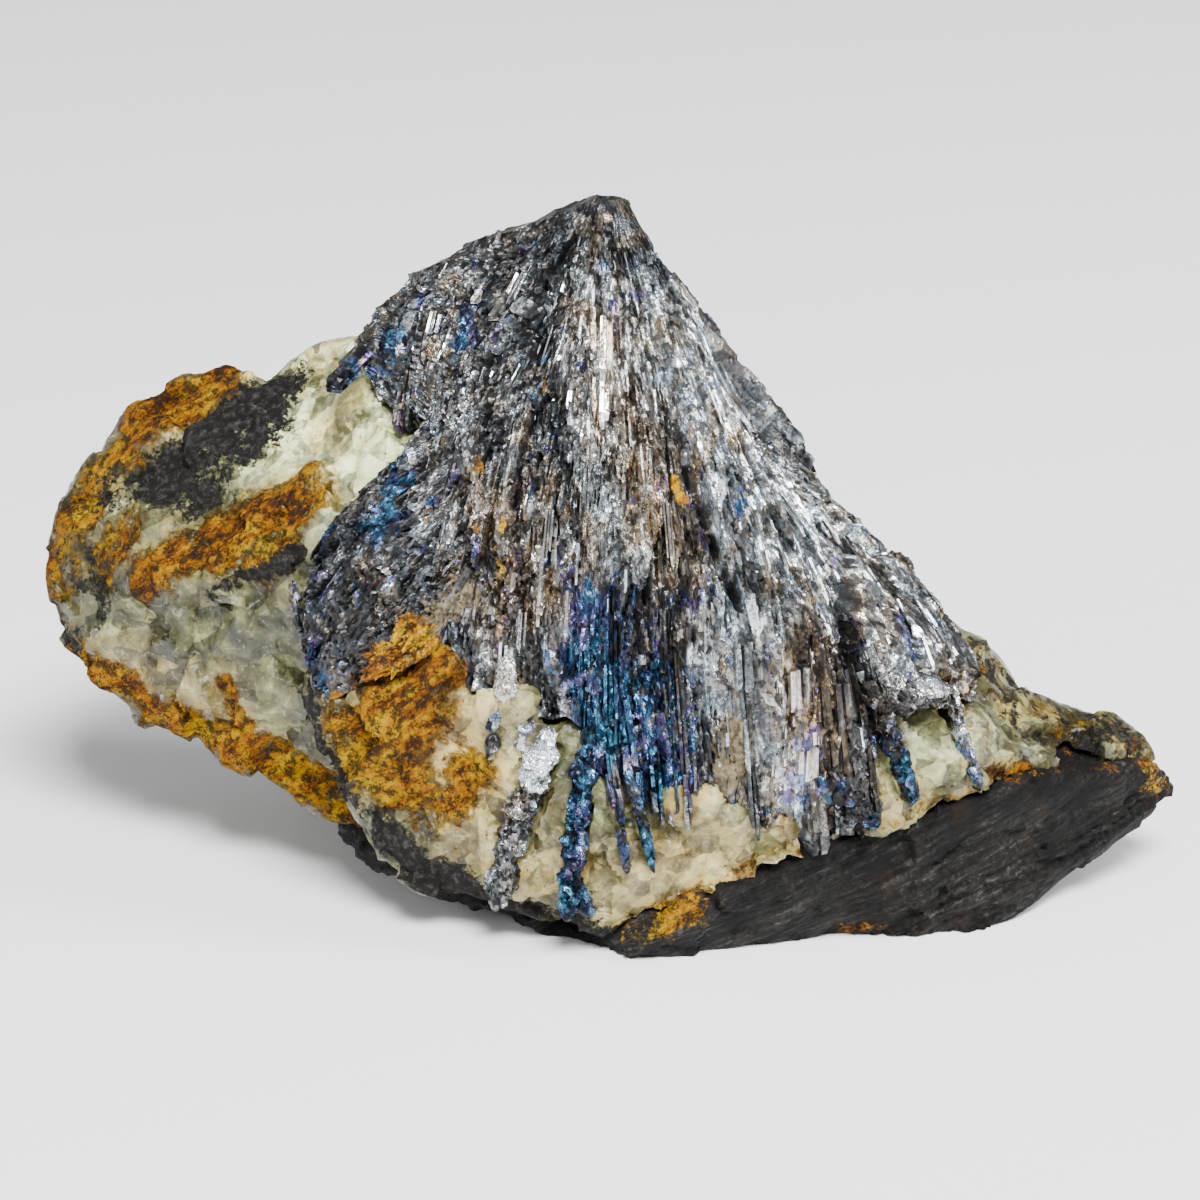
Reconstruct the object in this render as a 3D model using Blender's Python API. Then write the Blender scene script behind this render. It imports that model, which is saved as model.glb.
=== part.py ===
"""A stibnite crystal spray on its own piece of quartz and slate, a loose hand specimen 81 mm long.

The spray is one intergrown fan of blades that runs down from a blunt crest. It is a loft between
the crest and the lower rim, with the larger blades joined to it. The stone under it is made of
lumps, each the hull of its broken corners: black slate that the specimen rests on, and pale quartz
over it. A few small crystals lie in the quartz on their own.

Sizes are in millimetres here and are scaled to metres as each mesh is made. X runs along the
specimen, Y away from its front, and Z up from the flat that it rests on.
"""

import math

import bmesh
import bpy
import numpy as np
from mathutils import Vector

MM = 0.001
GAP = 0.35  # clearance that the crystals keep in the stone around them
SLATE_GAP = 0.55  # clearance between the slate and the quartz
REST_HEIGHT = 0.0  # height of the flat that the slate is broken to
QUARTZ_LOWEST = 0.4  # the quartz stays clear of the surface that the slate rests on

# Ribs of the spray: a point on the crest, a point on the lower rim, how far the rib stands out a
# third and two thirds of the way down, and how far its middle bends towards +X. They run
# from the left end along the front to the right heel, and return along the back.
FAN_RIBS = {
    "crest_end": ((-18.7, 8.0, 39.9), (-19.7, 7.5, 38.2), 0.0, 0.0, 0.0),
    "upper_left": ((-15.4, 7.0, 43.4), (-17.2, 1.5, 35.0), 1.2, 1.0, 0.0),
    "quartz_notch": ((-12.0, 6.5, 45.9), (-14.3, -1.7, 34.9), 1.2, 0.8, 0.0),
    "wing_top": ((-6.2, 6.0, 48.0), (-15.2, -5.2, 28.6), 1.6, 1.2, 0.0),
    "wing_right": ((-3.9, 5.8, 49.1), (-14.0, -9.4, 21.6), 1.8, 1.8, 0.0),
    "front_left": ((-3.1, 5.7, 49.5), (-9.7, -11.0, 18.8), 2.0, 2.0, 0.0),
    "front_mid_left": ((-2.8, 5.7, 49.6), (-5.2, -12.3, 17.8), 2.3, 2.0, 0.0),
    "blue_left": ((-2.5, 5.7, 49.6), (-2.1, -13.2, 13.7), 2.3, 1.2, 0.0),
    "blue_right": ((-2.2, 5.7, 49.6), (2.7, -13.6, 12.0), 2.5, 1.8, 0.0),
    "front_mid": ((-1.8, 5.7, 49.6), (7.2, -13.7, 11.6), 3.0, 3.2, 0.0),
    "front_right": ((-1.4, 5.8, 49.5), (12.1, -13.4, 9.0), 3.0, 4.0, 0.0),
    "ledge_foot": ((-1.2, 5.9, 49.4), (15.6, -12.6, 9.9), 1.2, 3.4, -0.2),
    "ledge_left": ((-1.0, 6.1, 49.3), (16.8, -10.0, 17.7), 0.2, 2.2, -0.4),
    "ledge_right": ((-0.9, 6.4, 49.1), (22.3, -4.5, 15.8), -1.6, 0.8, -0.6),
    "right_heel": ((-0.8, 6.9, 48.9), (24.2, 0.0, 17.2), -3.0, -0.9, -0.8),
    "back_heel": ((-1.0, 7.5, 48.8), (19.0, 8.5, 19.6), -2.4, -1.6, -0.8),
    "back_right": ((-1.8, 8.0, 48.8), (11.0, 13.5, 27.0), 0.2, 0.6, 0.0),
    "back_middle": ((-3.4, 8.3, 48.8), (1.0, 14.0, 33.0), 0.8, 0.8, 0.0),
    "back_left": ((-7.7, 9.3, 47.0), (-8.0, 13.5, 36.5), 0.6, 0.6, 0.0),
    "back_end": ((-13.7, 9.6, 43.9), (-15.0, 12.0, 37.5), 0.2, 0.2, 0.0),
}
# The wing is a smaller fan, all flat faces, that leaves the left side of the main one.
WING_RIBS = {
    "wing_crease": ((-13.0, -0.8, 37.0), (-16.0, -3.6, 32.8), 0.3, 0.3, 0.0),
    "wing_shoulder": ((-12.2, -1.4, 37.0), (-18.8, -4.4, 29.7), 0.6, 0.6, 0.0),
    "wing_upper": ((-11.6, -1.8, 36.8), (-22.1, -3.9, 27.0), 0.8, 0.9, 0.0),
    "wing_end": ((-11.0, -2.6, 36.0), (-23.7, -5.5, 23.2), 1.0, 1.4, 0.0),
    "wing_foot": ((-10.6, -3.8, 34.4), (-22.8, -7.8, 17.3), 1.0, 2.0, 0.0),
    "wing_lower": ((-10.2, -5.4, 32.0), (-19.0, -9.0, 19.0), 0.8, 1.2, 0.0),
    "wing_root": ((-9.8, -6.6, 30.0), (-14.6, -9.8, 21.2), 0.6, 0.6, 0.0),
}
WING_BACK = ((-12.0, 0.0, 33.0), (-18.0, 0.0, 27.0), (-20.0, -1.5, 20.5), (-12.0, -3.0, 21.0))
SPINE = (-3.0, 5.0)  # X and Y of the upright line that the ribs stand out from
FAN_SEAT = (0.0, 1.0, 21.0)  # the deepest point of the face that the main fan grew on
SKIRT = 2.2  # thickness of the spray at its rim
COLUMNS_PER_RIB = 4
ROWS = 7
FULL_RIDGE_SPACING = 1.1  # ridges are lower where the columns are closer together than this
RIDGE_HEIGHT = 0.75  # how far neighbouring columns of the spray differ
RIDGE_BREAK = 0.35  # chance that a column breaks off to another height at a row
RIM_RAGGED = 0.05  # how unevenly the columns end at the rim, as a share of the rib
RIDGE_SEED = 11

# Broad hollows and swellings of the main fan: rib number, distance down, half widths, height.
FAN_FORMS = {
    "scooped_face": (11.6, 0.42, 1.6, 0.16, -2.2),
    "upper_facet": (13.2, 0.25, 1.0, 0.12, 0.9),
    "crest_cleft": (4.0, 0.26, 0.5, 0.10, -1.5),
    "blue_hollow": (7.6, 0.80, 1.0, 0.14, -1.6),
    "main_ridge": (9.6, 0.62, 0.8, 0.30, 1.2),
    "ledge_swelling": (13.1, 0.80, 1.2, 0.24, 1.2),
}
# Massive parts of the spray: the hull of each one's corners.
FAN_LUMPS = {
    "ledge": (
        (15.8, -4.0, 25.6), (17.9, 0.0, 25.3), (20.0, 1.0, 23.3), (21.7, 1.0, 20.8),
        (24.1, -1.0, 17.6), (22.1, -6.2, 17.2), (18.6, -10.3, 17.2), (16.0, -12.0, 18.5),
        (15.1, -9.7, 23.4), (17.6, -5.2, 23.4), (20.0, -6.4, 20.8), (18.0, 4.0, 21.0),
        (12.0, 0.0, 20.0), (14.0, -4.0, 17.2), (20.0, 2.0, 16.6),
    ),
}

# Blades that stand proud of the spray: how many, and the ranges that their sizes are drawn from.
BLADE_SEED = 5
BLADES = 52
BLADE_LENGTH = (0.20, 0.50)  # share of the rib
BLADE_WIDTH = (0.9, 2.2)
BLADE_THICKNESS = 2.4
FRONT_BLADES = (0.6, 14.0)  # rib numbers between which they are scattered
BACK_BLADES = (14.0, 19.0)
WING_BLADES = (0.4, 5.2)
WING_BLADES_PROUD = 0.5  # the wing's flat faces lie this far above its skin
BLADE_PROUD = (0.25, 0.75)  # how far a blade's outer face stands above the spray
RIM_REACH = 0.82  # blades that start or end beyond this share of the rib are given room in the stone

# Named blades that run out of the spray over the stone: the rib number and the share of the rib
# where each leaves the skin, the point that it ends at, its width and its thickness.
RIM_BLADES = {
    "teal_blade": (0.7, 0.25, (-22.4, 2.2, 36.6), 1.7, 2.2),
    "notch_blade": (1.5, 0.45, (-16.8, -0.6, 34.2), 2.0, 2.2),
    "blue_sliver": (2.6, 0.80, (-18.5, -5.4, 29.0), 1.4, 2.4),
    "blue_stem": (6.8, 0.84, (-5.0, -15.6, 3.8), 2.0, 3.2),
    "thin_stem": (7.4, 0.80, (1.0, -15.2, 7.2), 1.1, 1.8),
    "blue_root": (8.1, 0.72, (3.4, -15.1, 10.4), 1.6, 2.2),
    "middle_root": (9.0, 0.72, (8.4, -15.0, 9.4), 1.6, 2.2),
    "bronze_root": (10.1, 0.70, (13.4, -14.5, 8.2), 3.0, 3.0),
    "foot_root": (10.8, 0.75, (16.0, -13.4, 8.9), 2.0, 2.6),
    "ledge_blade": (12.0, 0.85, (19.0, -11.2, 10.6), 1.2, 2.2),
    "heel_blade": (13.1, 0.80, (23.8, -9.2, 11.0), 1.1, 2.6),
}
RIM_BLADE_PROUD = 0.35

# Crystals that lie in the quartz clear of the spray. Each is a node: start, end, width, thickness.
LOOSE_BLADES = {
    "silver_blade": ((-6.7, -13.4, 15.4), (-10.1, -12.9, 3.2), 2.3, 1.9),
    "left_needle": ((-24.4, -3.0, 24.0), (-23.8, -3.1, 20.2), 0.8, 1.2),
    "front_needle": ((-1.3, -15.0, 10.4), (-0.9, -15.2, 7.2), 0.8, 1.4),
}

QUARTZ_LUMPS = {
    "lobe_end": (
        (-43.9, 8.5, 22.6), (-43.8, 7.5, 19.0), (-41.3, 5.0, 14.9), (-37.2, 3.0, 10.5),
        (-28.6, -0.4, 8.2), (-28.0, -0.9, 14.0), (-29.0, -0.9, 24.1), (-36.5, 2.6, 21.0),
        (-41.2, 11.0, 27.6), (-38.2, 13.0, 31.4), (-32.6, 14.0, 34.2), (-28.0, 12.5, 35.0),
        (-27.0, 3.2, 29.9), (-33.0, 5.2, 27.0), (-39.6, 15.0, 20.0), (-36.4, 14.0, 12.4),
        (-28.0, 17.5, 28.6), (-26.0, 17.4, 10.4),
    ),
    "lobe_root": (
        (-29.0, -0.9, 24.1), (-23.9, -2.8, 24.7), (-20.5, -3.4, 28.4), (-28.6, -0.4, 8.2),
        (-25.0, -1.2, 6.4), (-22.2, -2.6, 4.4), (-14.0, -3.0, 5.0), (-20.8, 9.0, 37.9),
        (-26.9, 12.0, 35.4), (-14.7, 0.2, 36.2), (-14.0, -2.6, 32.8), (-10.0, 4.0, 36.0),
        (-9.0, 12.0, 37.5), (-20.0, 17.0, 32.0), (-12.0, 17.0, 33.0), (-27.0, 17.5, 11.4),
        (-12.0, 17.5, 5.0),
    ),
    "lobe_shelf": (
        (-38.6, 2.0, 20.4), (-31.6, -1.3, 22.6), (-27.0, -2.1, 25.0), (-22.6, -3.1, 28.4),
        (-37.8, 4.0, 23.2), (-31.0, 2.0, 26.8), (-26.4, 1.0, 29.0), (-21.4, 0.2, 31.8),
        (-34.0, 6.0, 17.0), (-26.0, 3.0, 19.0), (-22.0, 3.0, 24.0),
    ),
    "front_block": (
        (-23.4, -5.8, 20.4), (-22.7, -8.2, 14.1), (-22.0, -8.4, 10.2), (-19.2, -9.4, 7.4),
        (-16.8, -8.6, 4.2), (-13.2, -10.1, 2.9), (-8.6, -12.0, 2.0), (-2.7, -13.9, 0.8),
        (1.0, -14.3, 0.6), (4.2, -14.6, 2.4), (11.0, -13.9, 6.2), (15.6, -12.8, 8.2),
        (-21.0, -7.4, 20.0), (-14.4, -9.3, 20.6), (-9.8, -11.4, 17.8), (-5.0, -12.7, 16.0),
        (2.6, -13.9, 11.4), (12.0, -13.4, 10.4), (15.4, -11.8, 10.6), (14.0, -8.0, 18.0),
        (-12.0, 3.0, 33.0), (0.0, 4.0, 30.0), (-5.0, 12.0, 34.0), (6.0, 11.0, 27.0),
        (-14.0, 15.0, 6.0), (12.0, 15.0, 8.0),
    ),
    "right_block": (
        (15.8, -12.9, 8.4), (25.6, -8.6, 10.0), (30.1, -5.4, 9.8), (24.4, -7.4, 14.4),
        (17.4, -8.8, 15.4), (22.8, -4.4, 15.8), (25.0, 1.0, 15.2), (27.2, 5.0, 12.4),
        (31.0, 4.0, 11.0), (18.4, 9.5, 19.4), (9.0, 12.5, 26.0), (23.0, 12.0, 12.6),
        (10.0, 15.5, 10.0), (30.0, 9.0, 9.0),
    ),
    "back_block": (
        (-19.0, 15.5, 36.0), (-14.0, 14.6, 39.0), (-7.0, 15.4, 38.6), (1.0, 16.0, 35.0),
        (11.0, 15.6, 28.8), (19.0, 11.4, 21.0), (20.5, 8.0, 19.4), (22.0, 10.0, 14.0),
        (14.0, 15.8, 12.0), (-20.0, 17.0, 14.0), (0.0, 16.8, 14.0), (-10.0, 6.0, 20.0),
        (10.0, 4.0, 18.0), (-10.0, 17.4, 28.0),
    ),
    "right_knob": (
        (24.4, 3.6, 16.2), (26.4, 3.9, 15.6), (27.4, 4.2, 13.6), (28.2, 4.2, 11.6),
        (24.8, 7.4, 15.4), (26.8, 7.8, 13.2), (22.0, 6.0, 14.0), (26.0, 2.4, 11.0),
    ),
    "tail": (
        (28.0, -6.2, 10.0), (37.2, -1.4, 9.2), (39.4, -0.2, 8.0), (38.0, 2.0, 8.8),
        (36.0, 2.2, 10.7), (33.9, 3.2, 11.0), (30.6, 4.2, 11.4), (27.0, 5.0, 11.4),
        (34.0, 7.5, 8.0), (26.0, 9.0, 10.0), (26.0, -2.0, 7.0),
    ),
}
SLATE_LUMPS = {
    "foot": (
        (-4.0, -12.4, -1.5), (3.6, -12.6, -1.5), (10.0, -9.8, -1.5), (20.0, -6.0, -1.5),
        (22.0, 2.0, -1.5), (17.0, 12.0, -1.5), (-8.0, 13.0, -1.5), (-13.0, 6.0, -1.5),
        (-11.0, -5.0, -1.5), (-1.0, -14.0, 1.6), (4.2, -14.5, 3.6), (11.1, -13.6, 7.0),
        (16.0, -12.6, 8.6), (12.0, -12.4, 3.4), (26.0, 4.0, 1.5), (18.0, 15.5, 8.0),
        (-8.0, 16.5, 7.0), (-15.0, 10.0, 4.0),
    ),
    "tail_keel": (
        (15.0, -12.7, 8.4), (25.4, -8.8, 10.0), (30.1, -5.8, 10.0), (37.2, -1.6, 9.0),
        (39.8, 0.0, 7.3), (39.3, 0.8, 6.2), (35.0, -2.2, 5.0), (32.1, -4.2, 3.6),
        (29.6, -6.2, 2.4), (26.6, -8.2, 0.6), (25.4, -8.6, -1.0), (19.6, -10.8, -1.5),
        (14.0, -10.0, -1.0), (16.0, 2.0, -1.0), (34.0, 6.5, 5.5), (27.0, 11.0, 3.0),
        (18.0, 14.0, 2.0), (26.0, 11.0, 9.0),
    ),
    "left_keel": (
        (-17.2, -8.2, 4.2), (-19.8, -5.2, 3.0), (-22.2, -2.6, 3.0), (-10.0, -8.0, 0.6),
        (-6.0, -11.6, 0.6), (-13.6, -9.0, 2.2), (-24.0, 6.0, 6.0), (-22.0, 15.0, 7.5),
        (-8.0, 16.0, 6.0), (-6.0, 6.0, -1.0), (-18.0, 4.0, 8.0),
    ),
    "back_slab": (
        (-20.0, 15.0, 8.0), (-22.0, 18.4, 13.0), (-17.0, 18.8, 19.0), (-6.0, 18.6, 22.0),
        (4.0, 18.0, 17.0), (16.0, 15.6, 14.0), (21.0, 13.4, 8.0), (18.0, 14.5, 3.0),
        (-8.0, 15.0, 3.0), (-8.0, 13.5, 17.0), (8.0, 13.0, 12.0), (-18.0, 15.0, 14.0),
    ),
}
ROOM_SHARE = 0.6  # share of the faces kept in the room that the stone has for the spray
ROCK_VOXEL = 0.9  # the lumps are fused at this fineness
QUARTZ_SHARE = 0.10  # share of the voxel mesh's faces that is kept
SLATE_SHARE = 0.10
QUARTZ_CELL = 5.0  # width of the blocky lumps in the quartz
QUARTZ_RELIEF = 1.2
SLATE_CELL = 8.0
SLATE_RELIEF = 0.9

# Colour, roughness and metallic value of each mineral.
STIBNITE = ((0.16, 0.17, 0.20), 0.32, 1.0)
QUARTZ = ((0.56, 0.58, 0.44), 0.38, 0.0)
SLATE = ((0.035, 0.035, 0.038), 0.62, 0.0)


# ---- small tools ---------------------------------------------------------------------------------


def clear_scene():
    for thing in list(bpy.data.objects):
        bpy.data.objects.remove(thing)


def material(name, finish):
    colour, roughness, metallic = finish
    made = bpy.data.materials.new(name)
    made.use_nodes = True
    shader = made.node_tree.nodes["Principled BSDF"]
    shader.inputs["Base Color"].default_value = (*colour, 1.0)
    shader.inputs["Roughness"].default_value = roughness
    shader.inputs["Metallic"].default_value = metallic
    return made


def add_object(name, mesh, surface=None):
    thing = bpy.data.objects.new(name, mesh)
    bpy.context.scene.collection.objects.link(thing)
    if surface:
        mesh.materials.append(surface)
    return thing


def mesh_of(name, points, faces):
    """A mesh from points in millimetres, with its faces turned outwards."""
    mesh = bpy.data.meshes.new(name)
    mesh.from_pydata([tuple(p) for p in np.asarray(points) * MM], [], faces)
    work = bmesh.new()
    work.from_mesh(mesh)
    bmesh.ops.recalc_face_normals(work, faces=work.faces)
    work.to_mesh(mesh)
    work.free()
    return mesh


def as_helper(thing):
    """Marks an object as a cutter, which isn't part of the specimen."""
    thing.hide_render = True
    thing.display_type = "WIRE"
    return thing


def boolean(thing, other, operation, crossing_parts=False):
    modifier = thing.modifiers.new(operation.lower(), "BOOLEAN")
    modifier.operation = operation
    modifier.solver = "EXACT"
    modifier.use_self = crossing_parts
    modifier.object = other


def settle(thing):
    """Replaces the mesh by what its modifiers make of it, without a cut's stray fragments."""
    graph = bpy.context.evaluated_depsgraph_get()
    mesh = bpy.data.meshes.new_from_object(thing.evaluated_get(graph))
    thing.modifiers.clear()
    thing.data = mesh
    keep_largest_piece(mesh)


def keep_largest_piece(mesh):
    """Deletes every part of the mesh that isn't connected to the largest one."""
    work = bmesh.new()
    work.from_mesh(mesh)
    waiting = set(work.verts)
    pieces = []
    while waiting:
        piece = set()
        front = [waiting.pop()]
        while front:
            vert = front.pop()
            piece.add(vert)
            near = {edge.other_vert(vert) for edge in vert.link_edges} & waiting
            waiting -= near
            front.extend(near)
        pieces.append(piece)
    pieces.sort(key=len)
    stray = [vert for piece in pieces[:-1] for vert in piece]
    bmesh.ops.delete(work, geom=stray, context="VERTS")
    work.to_mesh(mesh)
    work.free()


def cut_flat(mesh, height):
    """Cuts the mesh off level at a height and closes it with one flat face."""
    work = bmesh.new()
    work.from_mesh(mesh)
    found = bmesh.ops.bisect_plane(
        work,
        geom=[*work.verts, *work.edges, *work.faces],
        dist=1e-6,
        plane_co=(0, 0, height * MM),
        plane_no=(0, 0, 1),
        clear_inner=True,
    )
    edges = [part for part in found["geom_cut"] if isinstance(part, bmesh.types.BMEdge)]
    if edges:
        bmesh.ops.holes_fill(work, edges=work.edges)
    bmesh.ops.recalc_face_normals(work, faces=work.faces)
    work.to_mesh(mesh)
    work.free()


# ---- the spray -----------------------------------------------------------------------------------


def around(values, rib):
    """Catmull-Rom interpolation of one value or point for each rib, closed round the spray."""
    values = np.asarray(values, float)
    index = np.floor(rib).astype(int)
    t = (rib - index).reshape(-1, *[1] * (values.ndim - 1))
    a, b, c, d = (values[(index + k) % len(values)] for k in (-1, 0, 1, 2))
    return b + 0.5 * t * (c - a + t * (2 * a - 5 * b + 4 * c - d + t * (3 * (b - c) + d - a)))


def skin_point(ribs, rib, down):
    """The skin of a fan and its outward direction, at a rib number and a distance down from 0 to 1.

    A point lies on the line from crest to rim, moved outwards by the rib's two swellings
    27/4 v (1 - v)^2 and 27/4 v^2 (1 - v), where v is the distance down, and by the broad forms,
    which are bell-shaped. Its bend moves it sideways by 4 v (1 - v).
    """
    rib = np.atleast_1d(np.asarray(rib, float))
    down = np.atleast_1d(np.asarray(down, float))
    crest, rim, upper, lower, bend = (around([r[k] for r in ribs.values()], rib) for k in range(5))
    inside = np.clip(down, 0, 1)
    reach = 6.75 * inside * (1 - inside) * (upper * (1 - inside) + lower * inside)
    for place, depth, half_ribs, half_down, height in FAN_FORMS.values() if ribs is FAN_RIBS else ():
        reach += height * np.exp(-(((rib - place) / half_ribs) ** 2) - ((down - depth) / half_down) ** 2)
    point = crest + (rim - crest) * down[:, None]
    point[:, 0] += 4 * inside * (1 - inside) * bend
    outward = crest + (rim - crest) * 0.6
    outward[:, :2] -= SPINE
    outward[:, 2] = 0.35 * np.linalg.norm(outward[:, :2], axis=1)
    outward /= np.linalg.norm(outward, axis=1, keepdims=True)
    return point + outward * reach[:, None], outward


def column_heights(columns):
    """Height of every column at every row: it keeps its height down a splinter, then breaks off."""
    rng = np.random.default_rng(RIDGE_SEED)
    heights = np.empty((ROWS, columns))
    heights[0] = rng.uniform(-0.4, 0.6, columns)
    for row in range(1, ROWS):
        broken = rng.random(columns) < RIDGE_BREAK
        heights[row] = np.where(broken, rng.uniform(-0.6, 1.0, columns), heights[row - 1])
    heights[:, ::2] -= 0.5
    heights[0] *= 0.7
    heights[-1] *= 0.6
    return heights * RIDGE_HEIGHT, 1 + rng.uniform(-0.6, 1.0, columns) * RIM_RAGGED


def main_fan(name, grow=0.0):
    """The main fan as a closed mesh: ridged skin, skirt under the rim, and the seat behind it."""
    columns = len(FAN_RIBS) * COLUMNS_PER_RIB
    places = np.arange(columns) / COLUMNS_PER_RIB
    heights, ends = column_heights(columns)
    rows = []
    for row in range(ROWS):
        down = row / (ROWS - 1)
        skin, outward = skin_point(FAN_RIBS, places, down * (1 + (ends - 1) * down**4))
        spacing = np.linalg.norm(np.roll(skin, -1, 0) - np.roll(skin, 1, 0), axis=1) / 2
        height = heights[row] * np.clip(spacing / FULL_RIDGE_SPACING, 0.0, 1.0) ** 1.5
        rows.append(skin + outward * (height[:, None] + grow))
    centre = np.array(FAN_SEAT) - (0, 0, grow)
    inward = centre - rows[-1]
    inward /= np.linalg.norm(inward, axis=1, keepdims=True)
    below = np.array((0.0, 0.0, -grow))
    rows[-1] = rows[-1] + below
    rows.append(rows[-1] + (inward * 0.6 - outward * 0.8) * SKIRT + below)
    points = np.concatenate([*rows, centre[None]])
    faces = []
    for row in range(len(rows) - 1):
        for column in range(columns):
            after = (column + 1) % columns
            faces.append(
                (row * columns + column, (row + 1) * columns + column,
                 (row + 1) * columns + after, row * columns + after)
            )
    last = (len(rows) - 1) * columns
    faces += [(last + c, len(points) - 1, last + (c + 1) % columns) for c in range(columns)]
    mesh = mesh_of(name, points, faces)
    close_crest(mesh)
    return mesh


def wing(grow=0.0):
    """Points and faces of the wing: the hull of its skin and of the corners at its back."""
    places = np.linspace(0, len(WING_RIBS) - 1, 12)
    corners = [np.array(WING_BACK)]
    corners += [skin_point(WING_RIBS, places, np.full(12, down))[0] for down in (0.0, 0.4, 0.72, 1.0)]
    return hull(np.concatenate(corners), grow)


def close_crest(mesh):
    """Fills the narrow open loop along the crest, and cuts every face into triangles."""
    work = bmesh.new()
    work.from_mesh(mesh)
    rim = [edge for edge in work.edges if edge.is_boundary]
    bmesh.ops.triangle_fill(work, edges=rim, use_beauty=True, normal=(0, 0, 1))
    bmesh.ops.triangulate(work, faces=work.faces)
    bmesh.ops.recalc_face_normals(work, faces=work.faces)
    work.to_mesh(mesh)
    work.free()


def blade(start, end, outward, width, thickness, grow=0.0):
    """Points and faces of one blade: a five-sided lath that narrows to a chisel edge at its tip.

    The line from start to end runs along the middle of its outer face.
    """
    start, end, outward = (Vector(v) for v in (start, end, outward))
    along = (end - start).normalized()
    across = along.cross(outward).normalized()
    outward = across.cross(along).normalized()
    half = width / 2 + grow
    length = (end - start).length + 2 * grow
    start = start - along * grow + outward * grow
    deep = thickness + 2 * grow
    section = [(1.0, -0.35), (0.62, 0.0), (-0.7, -0.06), (-1.0, -0.5), (0.0, -1.0)]
    points = []
    for share, size, sink in ((0.0, 0.85, 0.2), (0.84, 0.85, 0.0)):
        middle = start + along * (length * share) - outward * (sink * deep)
        points += [middle + across * (a * half * size) + outward * (b * deep) for a, b in section]
    tip = start + along * length - outward * (0.3 * deep)
    points += [tip + across * (0.4 * half), tip - across * (0.4 * half)]
    faces = [(4, 3, 2, 1, 0)]
    faces += [(side, (side + 1) % 5, 5 + (side + 1) % 5, 5 + side) for side in range(5)]
    faces += [(9, 5, 10), (5, 6, 10), (6, 7, 11, 10), (7, 8, 11), (8, 9, 11), (9, 10, 11)]
    return [tuple(p) for p in points], faces


def join_parts(name, parts):
    """One mesh that holds several closed parts side by side."""
    points, faces = [], []
    for part_points, part_faces in parts:
        faces += [tuple(i + len(points) for i in face) for face in part_faces]
        points += list(part_points)
    return mesh_of(name, points, faces)


def skin_blades(grow=0.0, below=-1.0):
    """Blades scattered over both fans, each along a rib; only those that reach below the share."""
    rng = np.random.default_rng(BLADE_SEED)
    parts = []
    for number in range(BLADES):
        ribs, first, last = FAN_RIBS, *(BACK_BLADES if number % 6 == 4 else FRONT_BLADES)
        if number % 4 == 1:
            ribs, first, last = WING_RIBS, *WING_BLADES
        rib = rng.uniform(first, last)
        length = rng.uniform(*BLADE_LENGTH)
        top = rng.uniform(0.03, 1.03 - length)
        width = rng.uniform(*BLADE_WIDTH) * (0.55 + 0.45 * (top + length))
        proud = rng.uniform(*BLADE_PROUD) + (WING_BLADES_PROUD if ribs is WING_RIBS else 0)
        tilt = rng.uniform(-0.35, 0.35)
        slant = rng.uniform(-0.1, 0.1)
        if top + length < below:
            continue
        ends, outward = skin_point(ribs, [rib, rib + slant], [top, top + length])
        start, end, out = Vector(ends[0]), Vector(ends[1]), Vector(outward[0])
        face = out + out.cross((end - start).normalized()) * tilt
        parts.append(blade(start + out * proud, end + out * proud, face, width, BLADE_THICKNESS, grow))
    return parts


def outward_blade(start, end, width, thickness, grow=0.0):
    """A blade whose flat side faces away from the spray's upright line."""
    middle = (Vector(start) + Vector(end)) / 2
    outward = Vector((middle.x * 0.25, middle.y - SPINE[1], 2.5)).normalized()
    return blade(start, end, outward, width, thickness, grow)


def rim_blades(grow=0.0):
    parts = []
    for rib, share, end, width, thickness in RIM_BLADES.values():
        leaves, outward = skin_point(FAN_RIBS, rib, share)
        start = Vector(leaves[0]) + Vector(outward[0]) * RIM_BLADE_PROUD
        parts.append(outward_blade(start, end, width, thickness, grow))
    return parts


def make_spray(name, finish, grow=0.0):
    """The spray as one closed body. A larger one, by the clearance, cuts its room in the stone."""
    spray = add_object(name, main_fan(name, grow), finish)
    parts = [wing(grow), *(hull(corners, grow) for corners in FAN_LUMPS.values())]
    parts += skin_blades(grow, RIM_REACH if grow else -1.0) + rim_blades(grow)
    joined = as_helper(add_object(f"{name}_parts", join_parts(f"{name}_parts", parts)))
    boolean(spray, joined, "UNION", True)
    if grow:
        thin(spray, ROOM_SHARE)
    settle(spray)
    return spray


def make_loose_blades(finish):
    """The crystals that lie in the quartz on their own, and the cutter that makes room for them."""
    for name, sizes in LOOSE_BLADES.items():
        add_object(name, mesh_of(name, *outward_blade(*sizes)), finish)
    room = join_parts("loose_room", [outward_blade(*sizes, GAP) for sizes in LOOSE_BLADES.values()])
    return as_helper(add_object("loose_room", room))


# ---- the stone -----------------------------------------------------------------------------------


def hull(corners, grow=0.0):
    """Points and faces of the convex hull of a lump's corners, each widened to a small diamond."""
    corners = np.array(corners)
    if grow:
        diamond = 1.5 * grow * np.concatenate([np.eye(3), -np.eye(3)])
        corners = (corners[:, None] + diamond).reshape(-1, 3)
    work = bmesh.new()
    for point in corners:
        work.verts.new(point)
    found = bmesh.ops.convex_hull(work, input=work.verts)
    inner = [part for part in found["geom_interior"] if isinstance(part, bmesh.types.BMVert)]
    bmesh.ops.delete(work, geom=inner, context="VERTS")
    work.verts.index_update()
    made = [tuple(v.co) for v in work.verts], [tuple(v.index for v in f.verts) for f in work.faces]
    work.free()
    return made


def relief(name, cell, pattern):
    texture = bpy.data.textures.new(name, pattern)
    texture.noise_scale = cell * MM
    if pattern == "VORONOI":
        texture.distance_metric = "DISTANCE_SQUARED"
    return texture


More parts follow.
